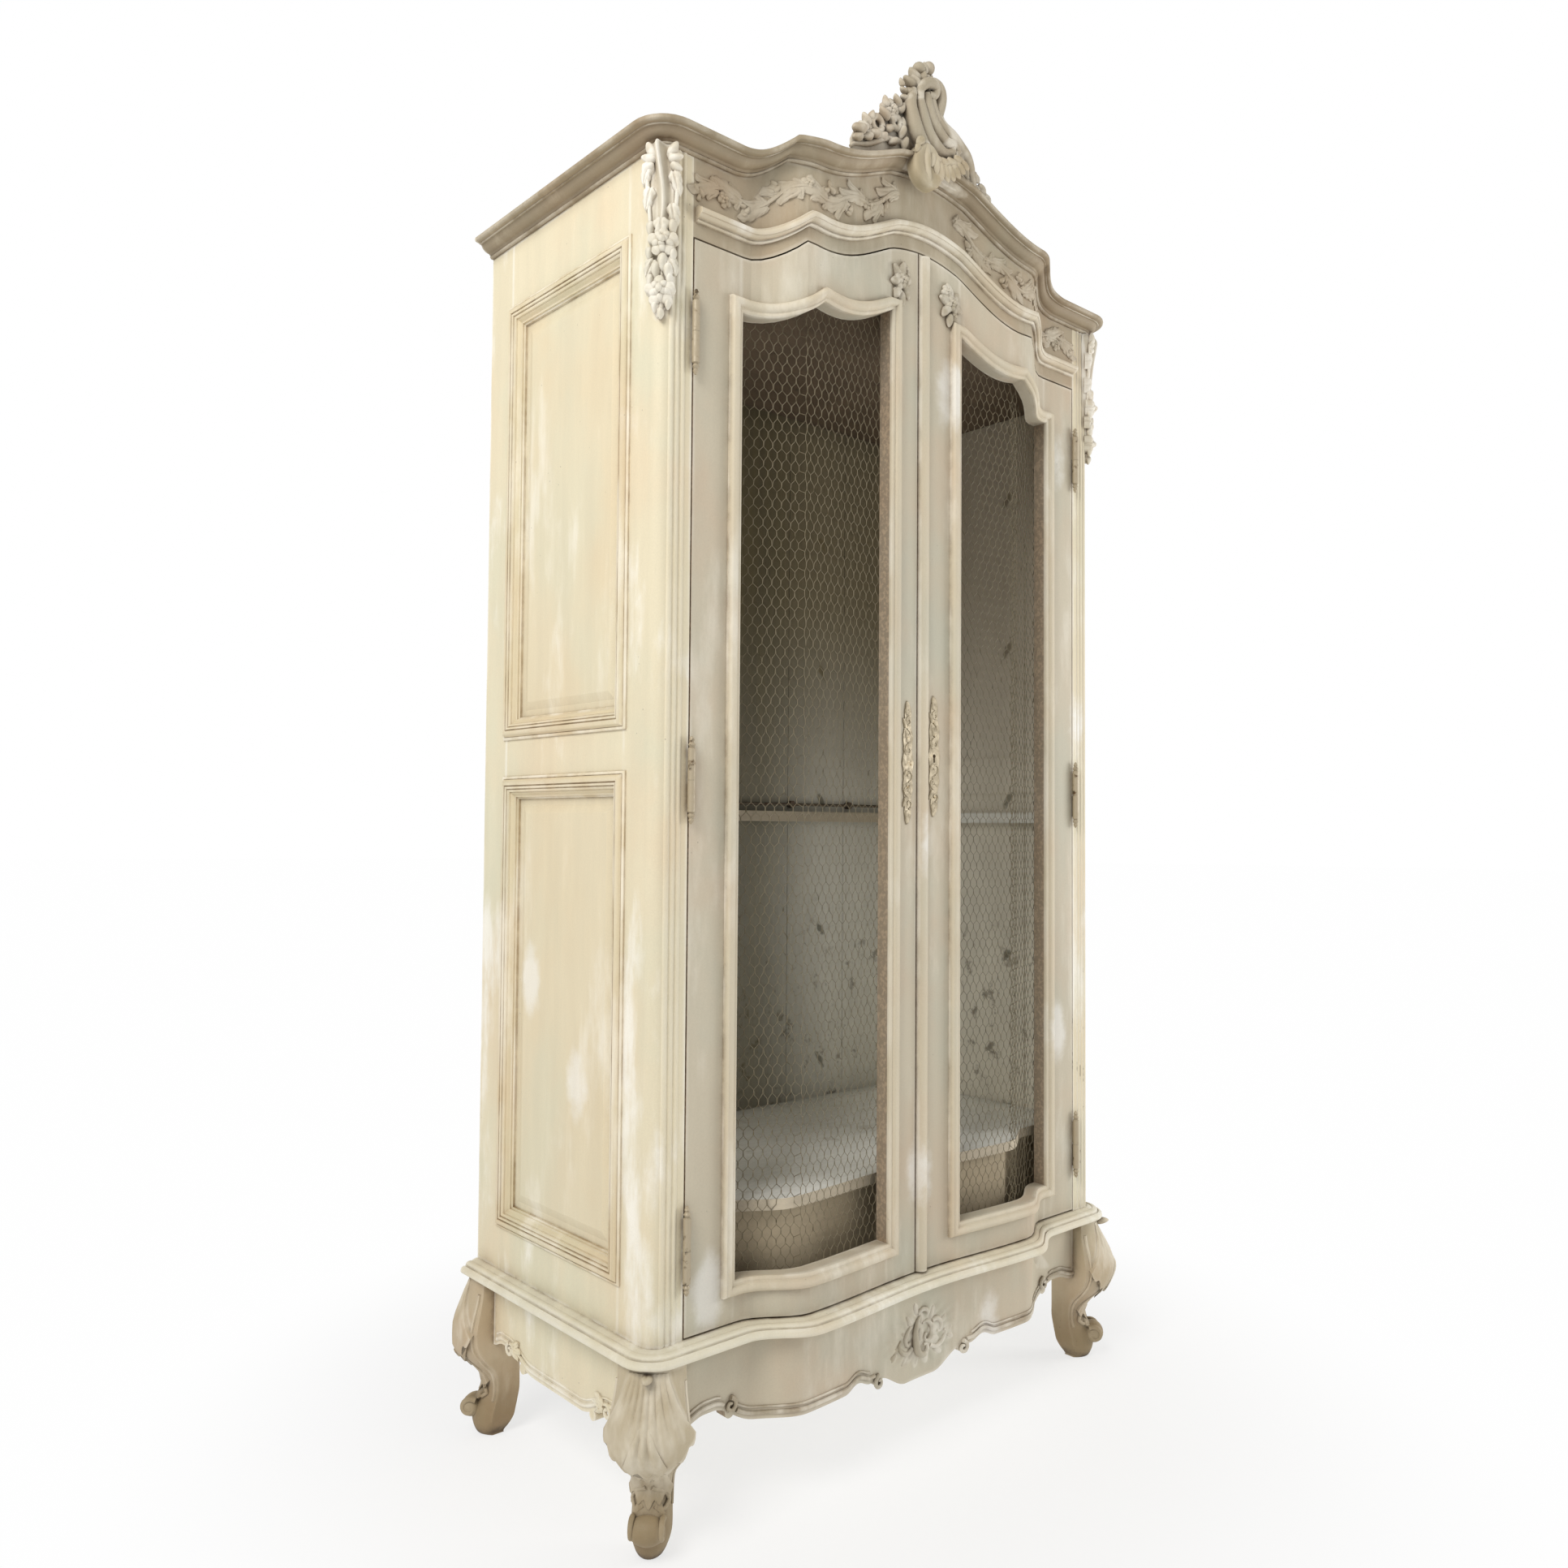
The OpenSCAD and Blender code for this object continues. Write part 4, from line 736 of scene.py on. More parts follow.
def mouldings():
    bm = bmesh.new()
    sweep(bm, COVE, round_the_case(cornice_z, CASE_TOP))
    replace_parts(keep("cornice_run", bm, cornice_paint), "cornice")
    bm = bmesh.new()
    sweep(bm, NOSE, round_the_case(lambda x: BASE_Z, BASE_Z))
    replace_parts(keep("base_run", bm, base_paint), "base_moulding")
    bm = bmesh.new()
    sweep(bm, STEP, [lambda o, u, x=x: (x, FRONT + bow(x) - o, door_top(x) + 0.026 + u)
                     for x in evenly(-0.489, 0.489, 150)])
    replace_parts(keep("frieze_run", bm, moulding_paint), "frieze_moulding")
    for form in (door_light, side_panels):
        for side, name in SIDES:
            form(side, name)


# Netting: each wire zigzags and is twisted with its neighbours in turn

CELL, PITCH, WIRE, TWIST = 0.0165, 0.0161, 0.00056, 0.00048
NET_X = (0.0840, 0.4040)
NET_LOW = 0.3630
STAPLE = 0.0006


def net_line(left, right):
    """The net leaves the frame a little where the bow turns, and is even along its own run."""
    xs = evenly(left, right, 400)
    ys = [max(FRONT + FRAME_T + 0.0017 + bow(x), -0.194 - 0.30 * (0.396 - x) if x > 0.277 else -9)
          for x in xs]
    run = [0.0]
    for i in range(400):
        run.append(run[-1] + hypot(xs[i + 1] - xs[i], ys[i + 1] - ys[i]))

    def at(s):
        i = min(range(401), key=lambda k: abs(run[k] - s))
        return xs[i], ys[i]
    return at, run[-1]


def netting(side, name):
    bm = bmesh.new()
    at, total = net_line(*NET_X)
    for k in range(int(total / (CELL / 2))):
        middle = (k + 0.5) * CELL / 2
        top = light_top(at(middle)[0]) + 0.010
        spots = [at(middle + turn * (CELL / 4 - 0.0005)) for turn in (-1, 1)]
        twist = TWIST * (1 if k % 2 else -1)
        line = []
        for j in range(int((top - NET_LOW) / PITCH) + 1):
            x, y = spots[(j + k) % 2]
            z = NET_LOW + j * PITCH
            line.append((side * x, y - twist, z - PITCH * 0.27, WIRE))
            line.append((side * x, y + twist, z + PITCH * 0.27, WIRE))
        tube(bm, line, 4, free=True)
    for s in (0, total):
        x, y = at(s)
        tube(bm, [(side * x, y, z, WIRE * 1.6) for z in (NET_LOW - 0.002, light_top(x) + 0.008)],
             5, free=True)
    for s, n in ((0.0040, 30), (total - 0.0040, 29)):
        x, y = at(s)
        for k in range(n):
            z = 0.40 + k * 0.052
            tube(bm, [(side * x, y + dy, z + dz, STAPLE) for dy, dz in (
                (-0.0022, -0.004), (0.0009, -0.004), (0.0009, 0.004), (-0.0022, 0.004))],
                4, free=True)
    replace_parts(keep(name + "_wire_net", bm, net_zinc, name + "_door"), name + "_netting")


# Carved garland on the frieze: a waving stem with leaves, tendrils and flowers

# Each leaf's turn from the stem, length, width, sway and rise
GARLAND_LEAVES = ((24, 0.056, 0.027, -0.34, 0.0056), (-16, 0.048, 0.022, 0.30, 0.0050),
                  (64, 0.036, 0.023, -0.62, 0.0054), (-52, 0.026, 0.018, 0.45, 0.0046),
                  (104, 0.020, 0.018, -0.3, 0.0050))


def garland():
    bm = bmesh.new()
    pick = random.Random(7)

    def wave(x):
        return garland_z(x) + 0.008 * sin((x - 0.053) / 0.058 * pi)
    for side in (-1, 1):
        tube(bm, [(side * x, wave(x), 0.0022, 0.0046 - 0.004 * x)
                  for x in evenly(0.075, 0.485, 70)], 6)
        for k in range(9):
            x = 0.082 + k * 0.0465
            slope = degrees(atan2(wave(x + 0.004) - wave(x - 0.004), 0.008))
            up = 1 if k % 2 == 0 else -1
            for turn, length, width, sway, rise in GARLAND_LEAVES:
                angle = slope + up * turn + pick.uniform(-7, 7)
                place = flat_place(side * (x - 0.004), wave(x), angle if side > 0 else 180 - angle)
                blade(bm, place, length, width, rise, 3, sway=side * sway * up, nx=15)
            xf = x + 0.026
            zf = garland_z(xf) - up * 0.013
            if k % 3 == 1:
                place = flat_place(side * xf, zf + up * 0.022, pick.uniform(0, 70))
                rose(bm, place, 0.0140, 0.0085)
            else:
                for dx, dz, r in ((0, 0, 0.0064), (0.010, up * 0.004, 0.0054),
                                  (0.004, -up * 0.009, 0.0050)):
                    bud(bm, flat_place(side * (xf + dx), zf + dz, pick.uniform(0, 180)), r, r)
    lay_on_front(bm)
    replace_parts(keep("frieze_garland", bm, frieze_paint), "frieze_carving")


# Crest: a pierced board with ridges, balls, buds, rings, a rose and leaves, all in
# thousandths: X and Z, then height and radius, or angle and size

CREST_BOARD = (
    (-74, 2233), (-76, 2288), (-70, 2330), (-60, 2362), (-56, 2389), (-44, 2404), (-28, 2414),
    (-10, 2412), (2, 2400), (8, 2380), (8, 2358), (4, 2344), (16, 2328), (44, 2315), (80, 2298),
    (94, 2280), (108, 2259), (118, 2234))
CREST_LEFT = ((-196, 2202), (-200, 2236), (-178, 2270), (-150, 2288), (-122, 2318),
              (-96, 2342), (-66, 2346), (-62, 2238))
CREST_RIDGES = (
    ((-57, 2372, 18, 6), (-68, 2340, 20, 10), (-64, 2318, 22, 11), (-58, 2300, 23, 12),
     (-48, 2283, 24, 12), (-32, 2270, 24, 11), (-10, 2262, 23, 10), (17, 2262, 22, 9),
     (43, 2268, 21, 8), (60, 2279, 18, 5)),
    ((-45, 2368, 20, 6), (-43, 2344, 22, 9), (-37, 2318, 24, 11), (-27, 2297, 25, 12),
     (-8, 2284, 26, 11), (14, 2281, 25, 9), (33, 2288, 24, 8), (37, 2302, 24, 7),
     (24, 2306, 25, 6), (15, 2298, 26, 5)),
    ((-29, 2374, 22, 7), (-24, 2350, 23, 9), (-17, 2328, 25, 10), (-1, 2312, 26, 10),
     (22, 2304, 26, 8), (44, 2308, 25, 7), (54, 2300, 24, 6), (44, 2291, 24, 5)),
    ((-13, 2376, 20, 6), (-11, 2354, 22, 8), (-4, 2338, 24, 8), (12, 2328, 25, 8),
     (33, 2321, 24, 8), (51, 2315, 22, 7), (66, 2303, 20, 5)),
    ((-27, 2389, 20, 7), (-14, 2398, 22, 9), (-2, 2398, 22, 10), (7, 2390, 22, 10),
     (10, 2376, 21, 10), (8, 2360, 20, 9), (6, 2346, 20, 8), (16, 2334, 21, 8),
     (40, 2324, 22, 9), (63, 2313, 21, 9), (82, 2304, 20, 8), (95, 2292, 18, 7),
     (103, 2276, 16, 6), (110, 2258, 14, 4)),
    ((-44, 2358, 24, 5), (-47, 2374, 25, 7), (-37, 2387, 27, 8), (-20, 2394, 28, 8),
     (-8, 2388, 27, 7), (-11, 2376, 26, 6), (-25, 2374, 25, 5)))
CREST_BUDS = (
    (-27, 2424, 90, 9), (-54, 2399, 140, 12), (-33, 2405, 80, 12), (-67, 2383, 160, 11),
    (-50, 2387, 130, 13), (-22, 2408, 30, 9), (-84, 2376, 120, 6), (-79, 2364, 170, 7),
    (-65, 2366, 190, 10), (-76, 2350, 180, 9), (-10, 2412, 60, 7), (-190, 2253, 190, 12),
    (-192, 2238, 200, 9), (-172, 2276, 130, 9), (-158, 2288, 70, 8), (-128, 2303, 140, 10),
    (-84, 2286, 250, 10), (-77, 2268, 260, 10), (-96, 2338, 120, 9), (-179, 2262, 170, 9),
    (-133, 2262, 200, 9), (-115, 2282, 30, 9), (-82, 2304, 90, 8), (-152, 2259, 190, 10),
    (-124, 2326, 110, 8), (-84, 2330, 60, 9), (-168, 2248, 200, 9), (-106, 2262, 210, 9))
CREST_STEMS = (
    ((-76, 2275, 9, 5), (-100, 2268, 11, 5.5), (-124, 2262, 11, 5), (-145, 2248, 11, 5),
     (-168, 2236, 10, 4.4), (-194, 2228, 9, 3.6), (-204, 2220, 8, 2.4)),
    ((70, 2280, 10, 6), (99, 2271, 10, 5), (124, 2262, 9, 4.4), (146, 2250, 8, 3.6),
     (164, 2238, 7, 2.6)))
CREST_LEAVES = (
    (76, 2300, -34, 34, 24), (98, 2284, -20, 30, 22), (104, 2266, -42, 40, 22),
    (128, 2256, -22, 32, 20), (134, 2246, -42, 34, 18), (152, 2240, -30, 30, 16))
CREST_RIGHT_BUDS = (
    (76, 2303, -20, 11), (90, 2294, -40, 10), (60, 2298, -60, 9), (112, 2275, -20, 10),
    (132, 2261, -30, 9), (50, 2286, -80, 9), (150, 2250, -30, 7), (86, 2276, -70, 9))
KEEL = ((-44, 2268, 3, 7), (-44, 2250, 4, 8), (-42, 2230, 4, 7), (-38, 2212, 3, 6),
        (-34, 2202, 1, 4))
SHIELD_BUDS = (
    (-30, 2248, -100, 9), (-20, 2240, -90, 10), (-8, 2236, -80, 11), (5, 2237, -62, 11),
    (18, 2242, -46, 11), (31, 2250, -34, 11), (44, 2260, -24, 10), (56, 2270, -14, 9),
    (-14, 2254, 10, 9), (4, 2255, 10, 10), (22, 2262, 10, 10), (40, 2274, 10, 9),
    (-62, 2270, -140, 9), (-68, 2256, -120, 7))


def shield(bm, x, z, wide, high, rim, hollow, depth):
    """A smooth hollow drop with a rolled edge."""
    def spot(t, s):
        a = 2 * pi * s
        if t < 0.8:
            h = rim - hollow * cos(t / 0.8 * pi / 2) ** 1.2
        else:
            h = rim * (0.25 + 0.75 * sqrt(max(0.0, 1 - ((t - 0.8) / 0.2) ** 2)))
        return (x + wide / 2 * (1 - 0.10 * sin(a)) * cos(a) * t,
                z + high / 2 * sin(a) * t, h)
    close_behind(bm, sheet(bm, 20, 44, spot, ring=True), -depth)


def crest():
    bm = bmesh.new()
    plank(bm, smooth_line(mm(*CREST_BOARD), 3), 0.004, 0.014, 0.003)
    plank(bm, smooth_line(mm(*CREST_LEFT), 2), 0.003, 0.007, 0.002)
    for ridge in CREST_RIDGES:
        stem(bm, [(x, z, h - 1.5, r * 1.18) for x, z, h, r in ridge], 4, 12)
    for x, z, h in ((-14, 2430, 0.012), (-40, 2418, 0.013)):
        ball = bmesh.ops.create_uvsphere(bm, u_segments=16, v_segments=10, radius=0.0118)["verts"]
        bmesh.ops.transform(bm, matrix=flat_place(x * MM, z * MM, 0, h), verts=ball)
    buds(bm, CREST_BUDS, 0.011, tall=1.05)
    rose(bm, flat_place(-0.109, 2.317, 20, 0.008), 0.0205, 0.015, depth=-0.005)
    for x, z, r, thick in ((-145, 2278, 13, 6), (-98, 2299, 11, 5.5), (-170, 2262, 8, 4.5)):
        tube(bm, spiral(x * MM, z * MM, r * MM, r * 0.9 * MM, 0, 350, thick * MM, thick * MM,
                        0.013, 24), 10)
    stem(bm, CREST_STEMS[0], 5)
    for x, z, angle, length, width in CREST_LEAVES:
        blade(bm, flat_place(x * MM, z * MM, angle, 0.006), length * MM, width * MM, 0.013,
              depth=-0.006)
    buds(bm, CREST_RIGHT_BUDS, 0.012, tall=0.9)
    stem(bm, CREST_STEMS[1], 5)
    lay_plane(bm, -0.262)
    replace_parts(keep("crest_plume", bm, carving_paint), "crest")
    bm = bmesh.new()
    shield(bm, -0.038, 2.236, 0.072, 0.080, 0.0085, 0.0040, 0.014)
    stem(bm, KEEL, 4, 10)
    buds(bm, SHIELD_BUDS, 0.004, 1.1, 0.62)
    lay_plane(bm, -0.2935)
    keep("crest_shield", bm, drop_paint)


# Corner brackets: leafy head, smooth stem and a fall of roses, on the diagonal; each row
# is Z, half width, height and how far its middle lies aside

BRACKET_ROWS = (
    (2113, 22, 22, 6), (2104, 24, 26, 6), (2088, 22, 24, 4), (2066, 20, 20, 1), (2040, 20, 16, -2),
    (2010, 19, 13, -2), (1984, 17, 11, 1), (1950, 15, 9, 2), (1912, 14, 8, 0), (1884, 11, 6, 0),
    (1864, 7, 2, 2))
BRACKET_HEAD = ((17, 2103, 60, 10), (21, 2090, 10, 9), (15, 2092, -60, 8), (22, 2076, -30, 8))
BRACKET_STEM = ((21, 2090, 8, 4), (24, 2064, 7, 3.6), (22, 2036, 5, 3.4), (19, 2000, 4, 3),
                (17, 1972, 3, 2.4))
BRACKET_LEAVES = (
    (-17, 2070, -104, 34, 20, 4), (20, 2084, -74, 34, 20, 5), (18, 2046, -78, 34, 20, 3),
    (-15, 2020, -98, 32, 20, 3), (0, 1996, -90, 32, 26, 9), (-10, 1938, -112, 26, 22, 3),
    (12, 1934, -66, 28, 22, 4), (3, 1872, -88, 26, 18, 1))
BRACKET_BUDS = (
    (-16, 1984, 9), (17, 1982, 9), (-2, 1930, 11), (9, 1918, 10), (-10, 1916, 10), (-17, 1942, 8),
    (19, 1944, 8), (-12, 1904, 8), (17, 1902, 8), (10, 1862, 7), (-10, 1866, 7), (1, 1852, 7))
DIAGONAL = 0.70711


def bracket(side, name):
    bm = bmesh.new()
    rows = smooth_line(mm(*BRACKET_ROWS), 4)
    n = len(rows) - 1

    def spot(t, s):
        z, w, h, mid = rows[round(t * n)]
        u = 2 * s - 1
        wing = (0.42 * h * sqrt(max(0.0, 1 - u ** 4))
                * (1 - 0.35 * exp(-((abs(u) - 0.55) / 0.2) ** 2)))
        return (u * w + mid * (1 - u * u), z, wing + 0.66 * h * exp(-(u / 0.27) ** 2))
    close_behind(bm, sheet(bm, n, 26, spot), -0.010)
    for s in (-1, 1):
        buds(bm, [(s * v, z, angle if s > 0 else 180 - angle, r)
                  for v, z, angle, r in BRACKET_HEAD], 0.008, tall=0.9)
        stem(bm, [(s * v, z, h, r) for v, z, h, r in BRACKET_STEM], 5)
    for v, z, angle, length, width, h in BRACKET_LEAVES:
        blade(bm, flat_place(v * MM, z * MM, angle, h * MM), length * MM, width * MM, 0.009,
              depth=-0.008)
    for v, z, r, h in ((-2, 1961, 24, 8), (2, 1886, 24, 6)):
        rose(bm, flat_place(v * MM, z * MM, z, h * MM), r * MM, 0.015, depth=-0.010)
    buds(bm, [(v, z, -90, r) for v, z, r in BRACKET_BUDS], 0.005)
    corner = Vector((HALF_W - 0.007, FRONT + 0.007))
    for v in bm.verts:
        a, z, h = v.co
        v.co = Vector((side * (corner.x + (a + h) * DIAGONAL),
                       corner.y + (a - h) * DIAGONAL, z))
    return keep("bracket_carving_" + name, bm, bracket_paint)


# Door ornaments: roses in the top corners and long pierced plates

PLATE_HALF = 0.1065
KEYHOLE_R = 0.0036
DOOR_BUDS = ((-4, 24, 110, 11), (12, 16, 50, 10), (-14, 6, 170, 11), (15, -4, -10, 11),
             (-13, -16, 230, 10), (-2, -30, 260, 10), (12, -24, 300, 10))


def plate_outline(n):
    out = []
    for i in range(n):
        a = 2 * pi * i / n
        z = PLATE_HALF * cos(a)
        t = abs(z) / PLATE_HALF
        w = (12.5 - 7.5 * t ** 2 + 2.6 * cos(t * 15) * (1 - 0.5 * t)) * MM
        w *= min(1, sqrt(max(0, 1 - t)) * 3.2) if t > 0.9 else 1
        out.append((w if sin(a) >= 0 else -w, z))
    return out


def escutcheon(bm, x, z, key):
    n = 56
    ring = bmesh.ops.create_circle(bm, cap_ends=not key, segments=n, radius=1)["verts"]
    for v, p in zip(ring, plate_outline(n)):
        v.co = Vector((x + p[0], z + p[1], -0.0004))
    if key:
        hole = bmesh.ops.create_circle(bm, cap_ends=False, segments=n, radius=1)["verts"]
        for i, v in enumerate(hole):
            a = 2 * pi * i / n
            px, pz = KEYHOLE_R * sin(a), KEYHOLE_R * cos(a)
            if pz < -0.0030:
                px, pz = (0.0018 if px > 0 else -0.0018), -0.0113
            v.co = Vector((x + px, z + pz, -0.0004))
        ring = ring + hole
        bmesh.ops.bridge_loops(bm, edges=around(ring))
    for g in bmesh.ops.extrude_face_region(bm, geom=around(ring, "link_faces"))["geom"]:
        if isinstance(g, bmesh.types.BMVert):
            g.co.z = 0.0016
    for s in (-1, 1):
        for cz, r0, turn in ((22, 10, 1), (48, 9, -1), (72, 8, 1)):
            tube(bm, spiral(x + turn * 0.002, z + s * cz * MM, r0 * 1.15 * MM, 0.0022, 90 * s,
                            90 * s + 330 * turn, 0.0014, 0.0010, 0.0018, 22), 6)
        for cz, angle, length, ways in ((36, 60, 22, (1, -1)), (60, 118, 20, (1,)),
                                        (84, 90, 24, (1,)), (14, 120, 16, (1,))):
            for way in ways:
                blade(bm, flat_place(x - way * 0.003, z + s * cz * MM,
                                     s * (90 + way * (angle - 90)), 0.0006),
                      length * MM, 0.010, 0.0026, nx=10, ny=6)
    for s in (-1, 1):
        nail = bmesh.ops.create_uvsphere(bm, u_segments=8, v_segments=5, radius=0.0016)["verts"]
        bmesh.ops.translate(bm, vec=(x, z + s * 0.092, 0.002), verts=nail)


def door_ornaments():
    for side, name, rx, rz, px, pz in ((-1, "left", -66, 2034, -41, 1190),
                                       (1, "right", 64, 2030, 28, 1204)):
        bm = bmesh.new()
        buds(bm, [(rx + side * dx, rz + dz, angle if side > 0 else 180 - angle, r)
                  for dx, dz, angle, r in DOOR_BUDS], 0.001, tall=0.75)
        for dx, dz, angle, height, r, rise in ((0, 0, 20, 0.003, 0.019, 0.014),
                                               (-9, 21, 50, 0.002, 0.013, 0.010),
                                               (8, -22, 10, 0.001, 0.012, 0.009)):
            rose(bm, flat_place((rx + side * dx) * MM, (rz + dz) * MM, angle, height), r, rise)
        lay_on_front(bm)
        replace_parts(keep(name + "_door_rose", bm, carving_paint, name + "_door"),
                    name + "_ornaments")
        bm = bmesh.new()
        escutcheon(bm, px * MM, pz * MM, side > 0)
        lay_on_front(bm)
        keep(name + "_plate", bm, plate_brass, name + "_door")


# Legs: smooth cabriole with a leafy knee and a scrolled foot

# Height, how far the inner face reaches, width and how far the ridge stands out
LEG_RINGS = smooth_line([
    (0, 0.66, 0.50, -10), (4, 0.66, 0.66, -4), (16, 0.78, 0.86, 2), (30, 0.88, 0.98, 5),
    (44, 0.92, 1.0, 4), (60, 0.96, 0.98, -3), (80, 1, 0.98, -12), (100, 1, 1.0, -14),
    (118, 1, 1.12, -2), (138, 1, 1.5, 18), (160, 1, 1.82, 35), (186, 1, 1.94, 44),
    (214, 1, 1.84, 37), (240, 1, 1.72, 24), (264, 1, 1.66, 13), (281, 1, 1.66, 8)], 3)
# Top, lowest edge, edge at the tips, half angles at the top and the edge, ribs, rise, flare
KNEE_LEAVES = ((0.276, 0.116, 0.188, 0.62, 1.50, 9, 0.0052, 0.0075),
               (0.214, 0.132, 0.150, 0.20, 0.62, 3, 0.0080, 0.0070),
               (0.150, 0.078, 0.098, 0.55, 1.20, 5, 0.0040, 0.0050),
               (0.104, 0.060, 0.066, 0.40, 0.80, 3, 0.0040, 0.0060))
FOOT_CURL = ((104, 0.12), (98, 0.50), (89, 0.88), (79, 1.02), (71, 0.80), (69, 0.45),
             (75, 0.30), (80, 0.42))
SCROLL = (0.004, 0.049)
SIDE_LIMIT, FRONT_LIMIT = 0.5995, -0.3060


def leg_row(z):
    z /= MM
    rows = LEG_RINGS
    for low, high in zip(rows, rows[1:]):
        if low[0] <= z <= high[0] and high[0] > low[0]:
            t = (z - low[0]) / (high[0] - low[0])
            return tuple(a + (b - a) * t for a, b in zip(low, high))
    return rows[-1] if z > 200 else rows[0]


def leg_measures(row):
    """Half width, inner face, where the rounding starts and the ridge of a row."""
    z, f, g, out = row
    w = min(31 * g, 60)
    inner = -79.2 * f
    return w, inner, max(inner + w, -79.2 + w), out


def leg_spot(row, a, raised=0.0):
    """The rounded outer face of the leg at an angle from its ridge."""
    w, inner, s, out = leg_measures(row)
    return ((s + (out - s) * cos(a)) * MM + raised * cos(a),
            w * MM * sin(a) + raised * sin(a), row[0] * MM)


def leg_outline(row):
    w, inner, s, out = leg_measures(row)
    ring = [(inner, 0), ((inner + s) / 2, w / 2)]
    ring += [(s + (out - s) * cos(a), w * sin(a))
             for a in (pi / 2 - pi * k / 16 for k in range(17))]
    ring += [((inner + s) / 2, -w / 2)]
    return [(u * MM, v * MM, row[0] * MM) for u, v in ring]


def knee_leaf(bm, top, low, tip, narrow, wide, ribs, rise, flare):
    """A long ribbed leaf wrapped over the ridge of the leg, with its tips turned out."""
    n, m = 24, ribs * 12

    def spot(t, s):
        j = round(s * m) % m
        front = j <= m // 2
        u = -1 + 4 * j / m if front else 3 - 4 * j / m
        waves = cos(pi * ribs * (u + 1))
        end = low + (tip - low) * abs(u) ** 1.4 + 0.005 * waves
        z = top + (end - top) * t
        a = u * (narrow + (wide - narrow) * t ** 1.3)
        raised = -0.004
        if front and 0 < j < m // 2:
            ridge = 0.40 + 0.60 * (0.5 - 0.5 * waves) ** 0.6
            raised = (rise * ridge * min(1, 0.25 + 3 * t) * (1 - 0.35 * t)
                      + flare * t ** 4 * (0.35 + 0.65 * abs(u)))
        return leg_spot(leg_row(z), max(-1.56, min(1.56, a)), raised)
    sheet(bm, n, m, spot, ring=True, caps=True)


def spiral_core(bm):
    """The rounded body of the scroll under the foot."""
    def spot(t, s):
        r = 0.0210 * sqrt(max(0.20, 1 - 0.80 * (2 * t - 1) ** 2))
        return (SCROLL[0] + r * cos(2 * pi * s), (t - 0.5) * 0.050,
                SCROLL[1] + r * sin(2 * pi * s))
    sheet(bm, 12, 24, spot, ring=True, caps=True)


def corner_tip(bm):
    """The curled leaf tip that shows under the corner of the base moulding."""
    ball = bmesh.ops.create_uvsphere(bm, u_segments=18, v_segments=12, radius=1)["verts"]
    for v in ball:
        t = (v.co.x + 1) / 2
        fold = 1 - 0.22 * exp(-(v.co.y / 0.3) ** 2) * max(0, v.co.z)
        v.co = Vector((0.022 + 0.015 * v.co.x, 0.011 * v.co.y * (1 - 0.5 * t),
                       0.2715 + 0.0085 * v.co.z * fold * (1 - 0.35 * t) + 0.003 * t))


def leg(name, side, back):
    bm = bmesh.new()
    rings = [leg_outline(r) for r in LEG_RINGS]
    n, m = len(rings) - 1, len(rings[0])
    sheet(bm, n, m, lambda t, s: rings[round(t * n)][round(s * m) % m], ring=True, caps=True)
    for leaf in KNEE_LEAVES:
        knee_leaf(bm, *leaf)
    for s in (-1, 1):
        tube(bm, [leg_spot(r, s * 1.40, -0.0005) + (0.0030,)
                  for r in LEG_RINGS if 66 < r[0] < 262], 6, free=True)
        tube(bm, [leg_spot(leg_row(z * MM), s * a, 0.0012) + (0.0043 - 0.0002 * i,)
                  for i, (z, a) in enumerate(FOOT_CURL)], 8, free=True)
        for k in range(2):
            roll = spiral(*SCROLL, 0.0175 - k * 0.007, 0.003, 130, 130 - 440,
                          0.0050 - k * 0.0014, 0.0026, 0, 26)
            tube(bm, [(q[0], s * (0.0225 - 0.003 * k), q[1], q[3]) for q in roll], 8, free=True)
    spiral_core(bm)
    corner_tip(bm)
    for v in bm.verts:
        u, a, z = v.co
        x = HALF_W + (u + a) * DIAGONAL
        y = FRONT + (a - u) * DIAGONAL
        x = min(x, SIDE_LIMIT + 0.2 * max(0.0, x - SIDE_LIMIT))
        y = max(y, FRONT_LIMIT + 0.2 * min(0.0, y - FRONT_LIMIT))
        v.co = Vector((side * x, FRONT + BACK - y if back else y, z))
    if back:
        cut = bmesh.ops.bisect_plane(bm, geom=bm.verts[:] + bm.edges[:] + bm.faces[:],
                                     plane_co=(0, BACK - 0.0003, 0), plane_no=(0, 1, 0),
                                     clear_outer=True)
        rim = [g for g in cut["geom_cut"] if isinstance(g, bmesh.types.BMEdge)]
        bmesh.ops.holes_fill(bm, edges=rim, sides=0)
    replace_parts(keep(name + "_carved", bm, leg_paint), name)


# Apron: leafy cartouche and a carved edge

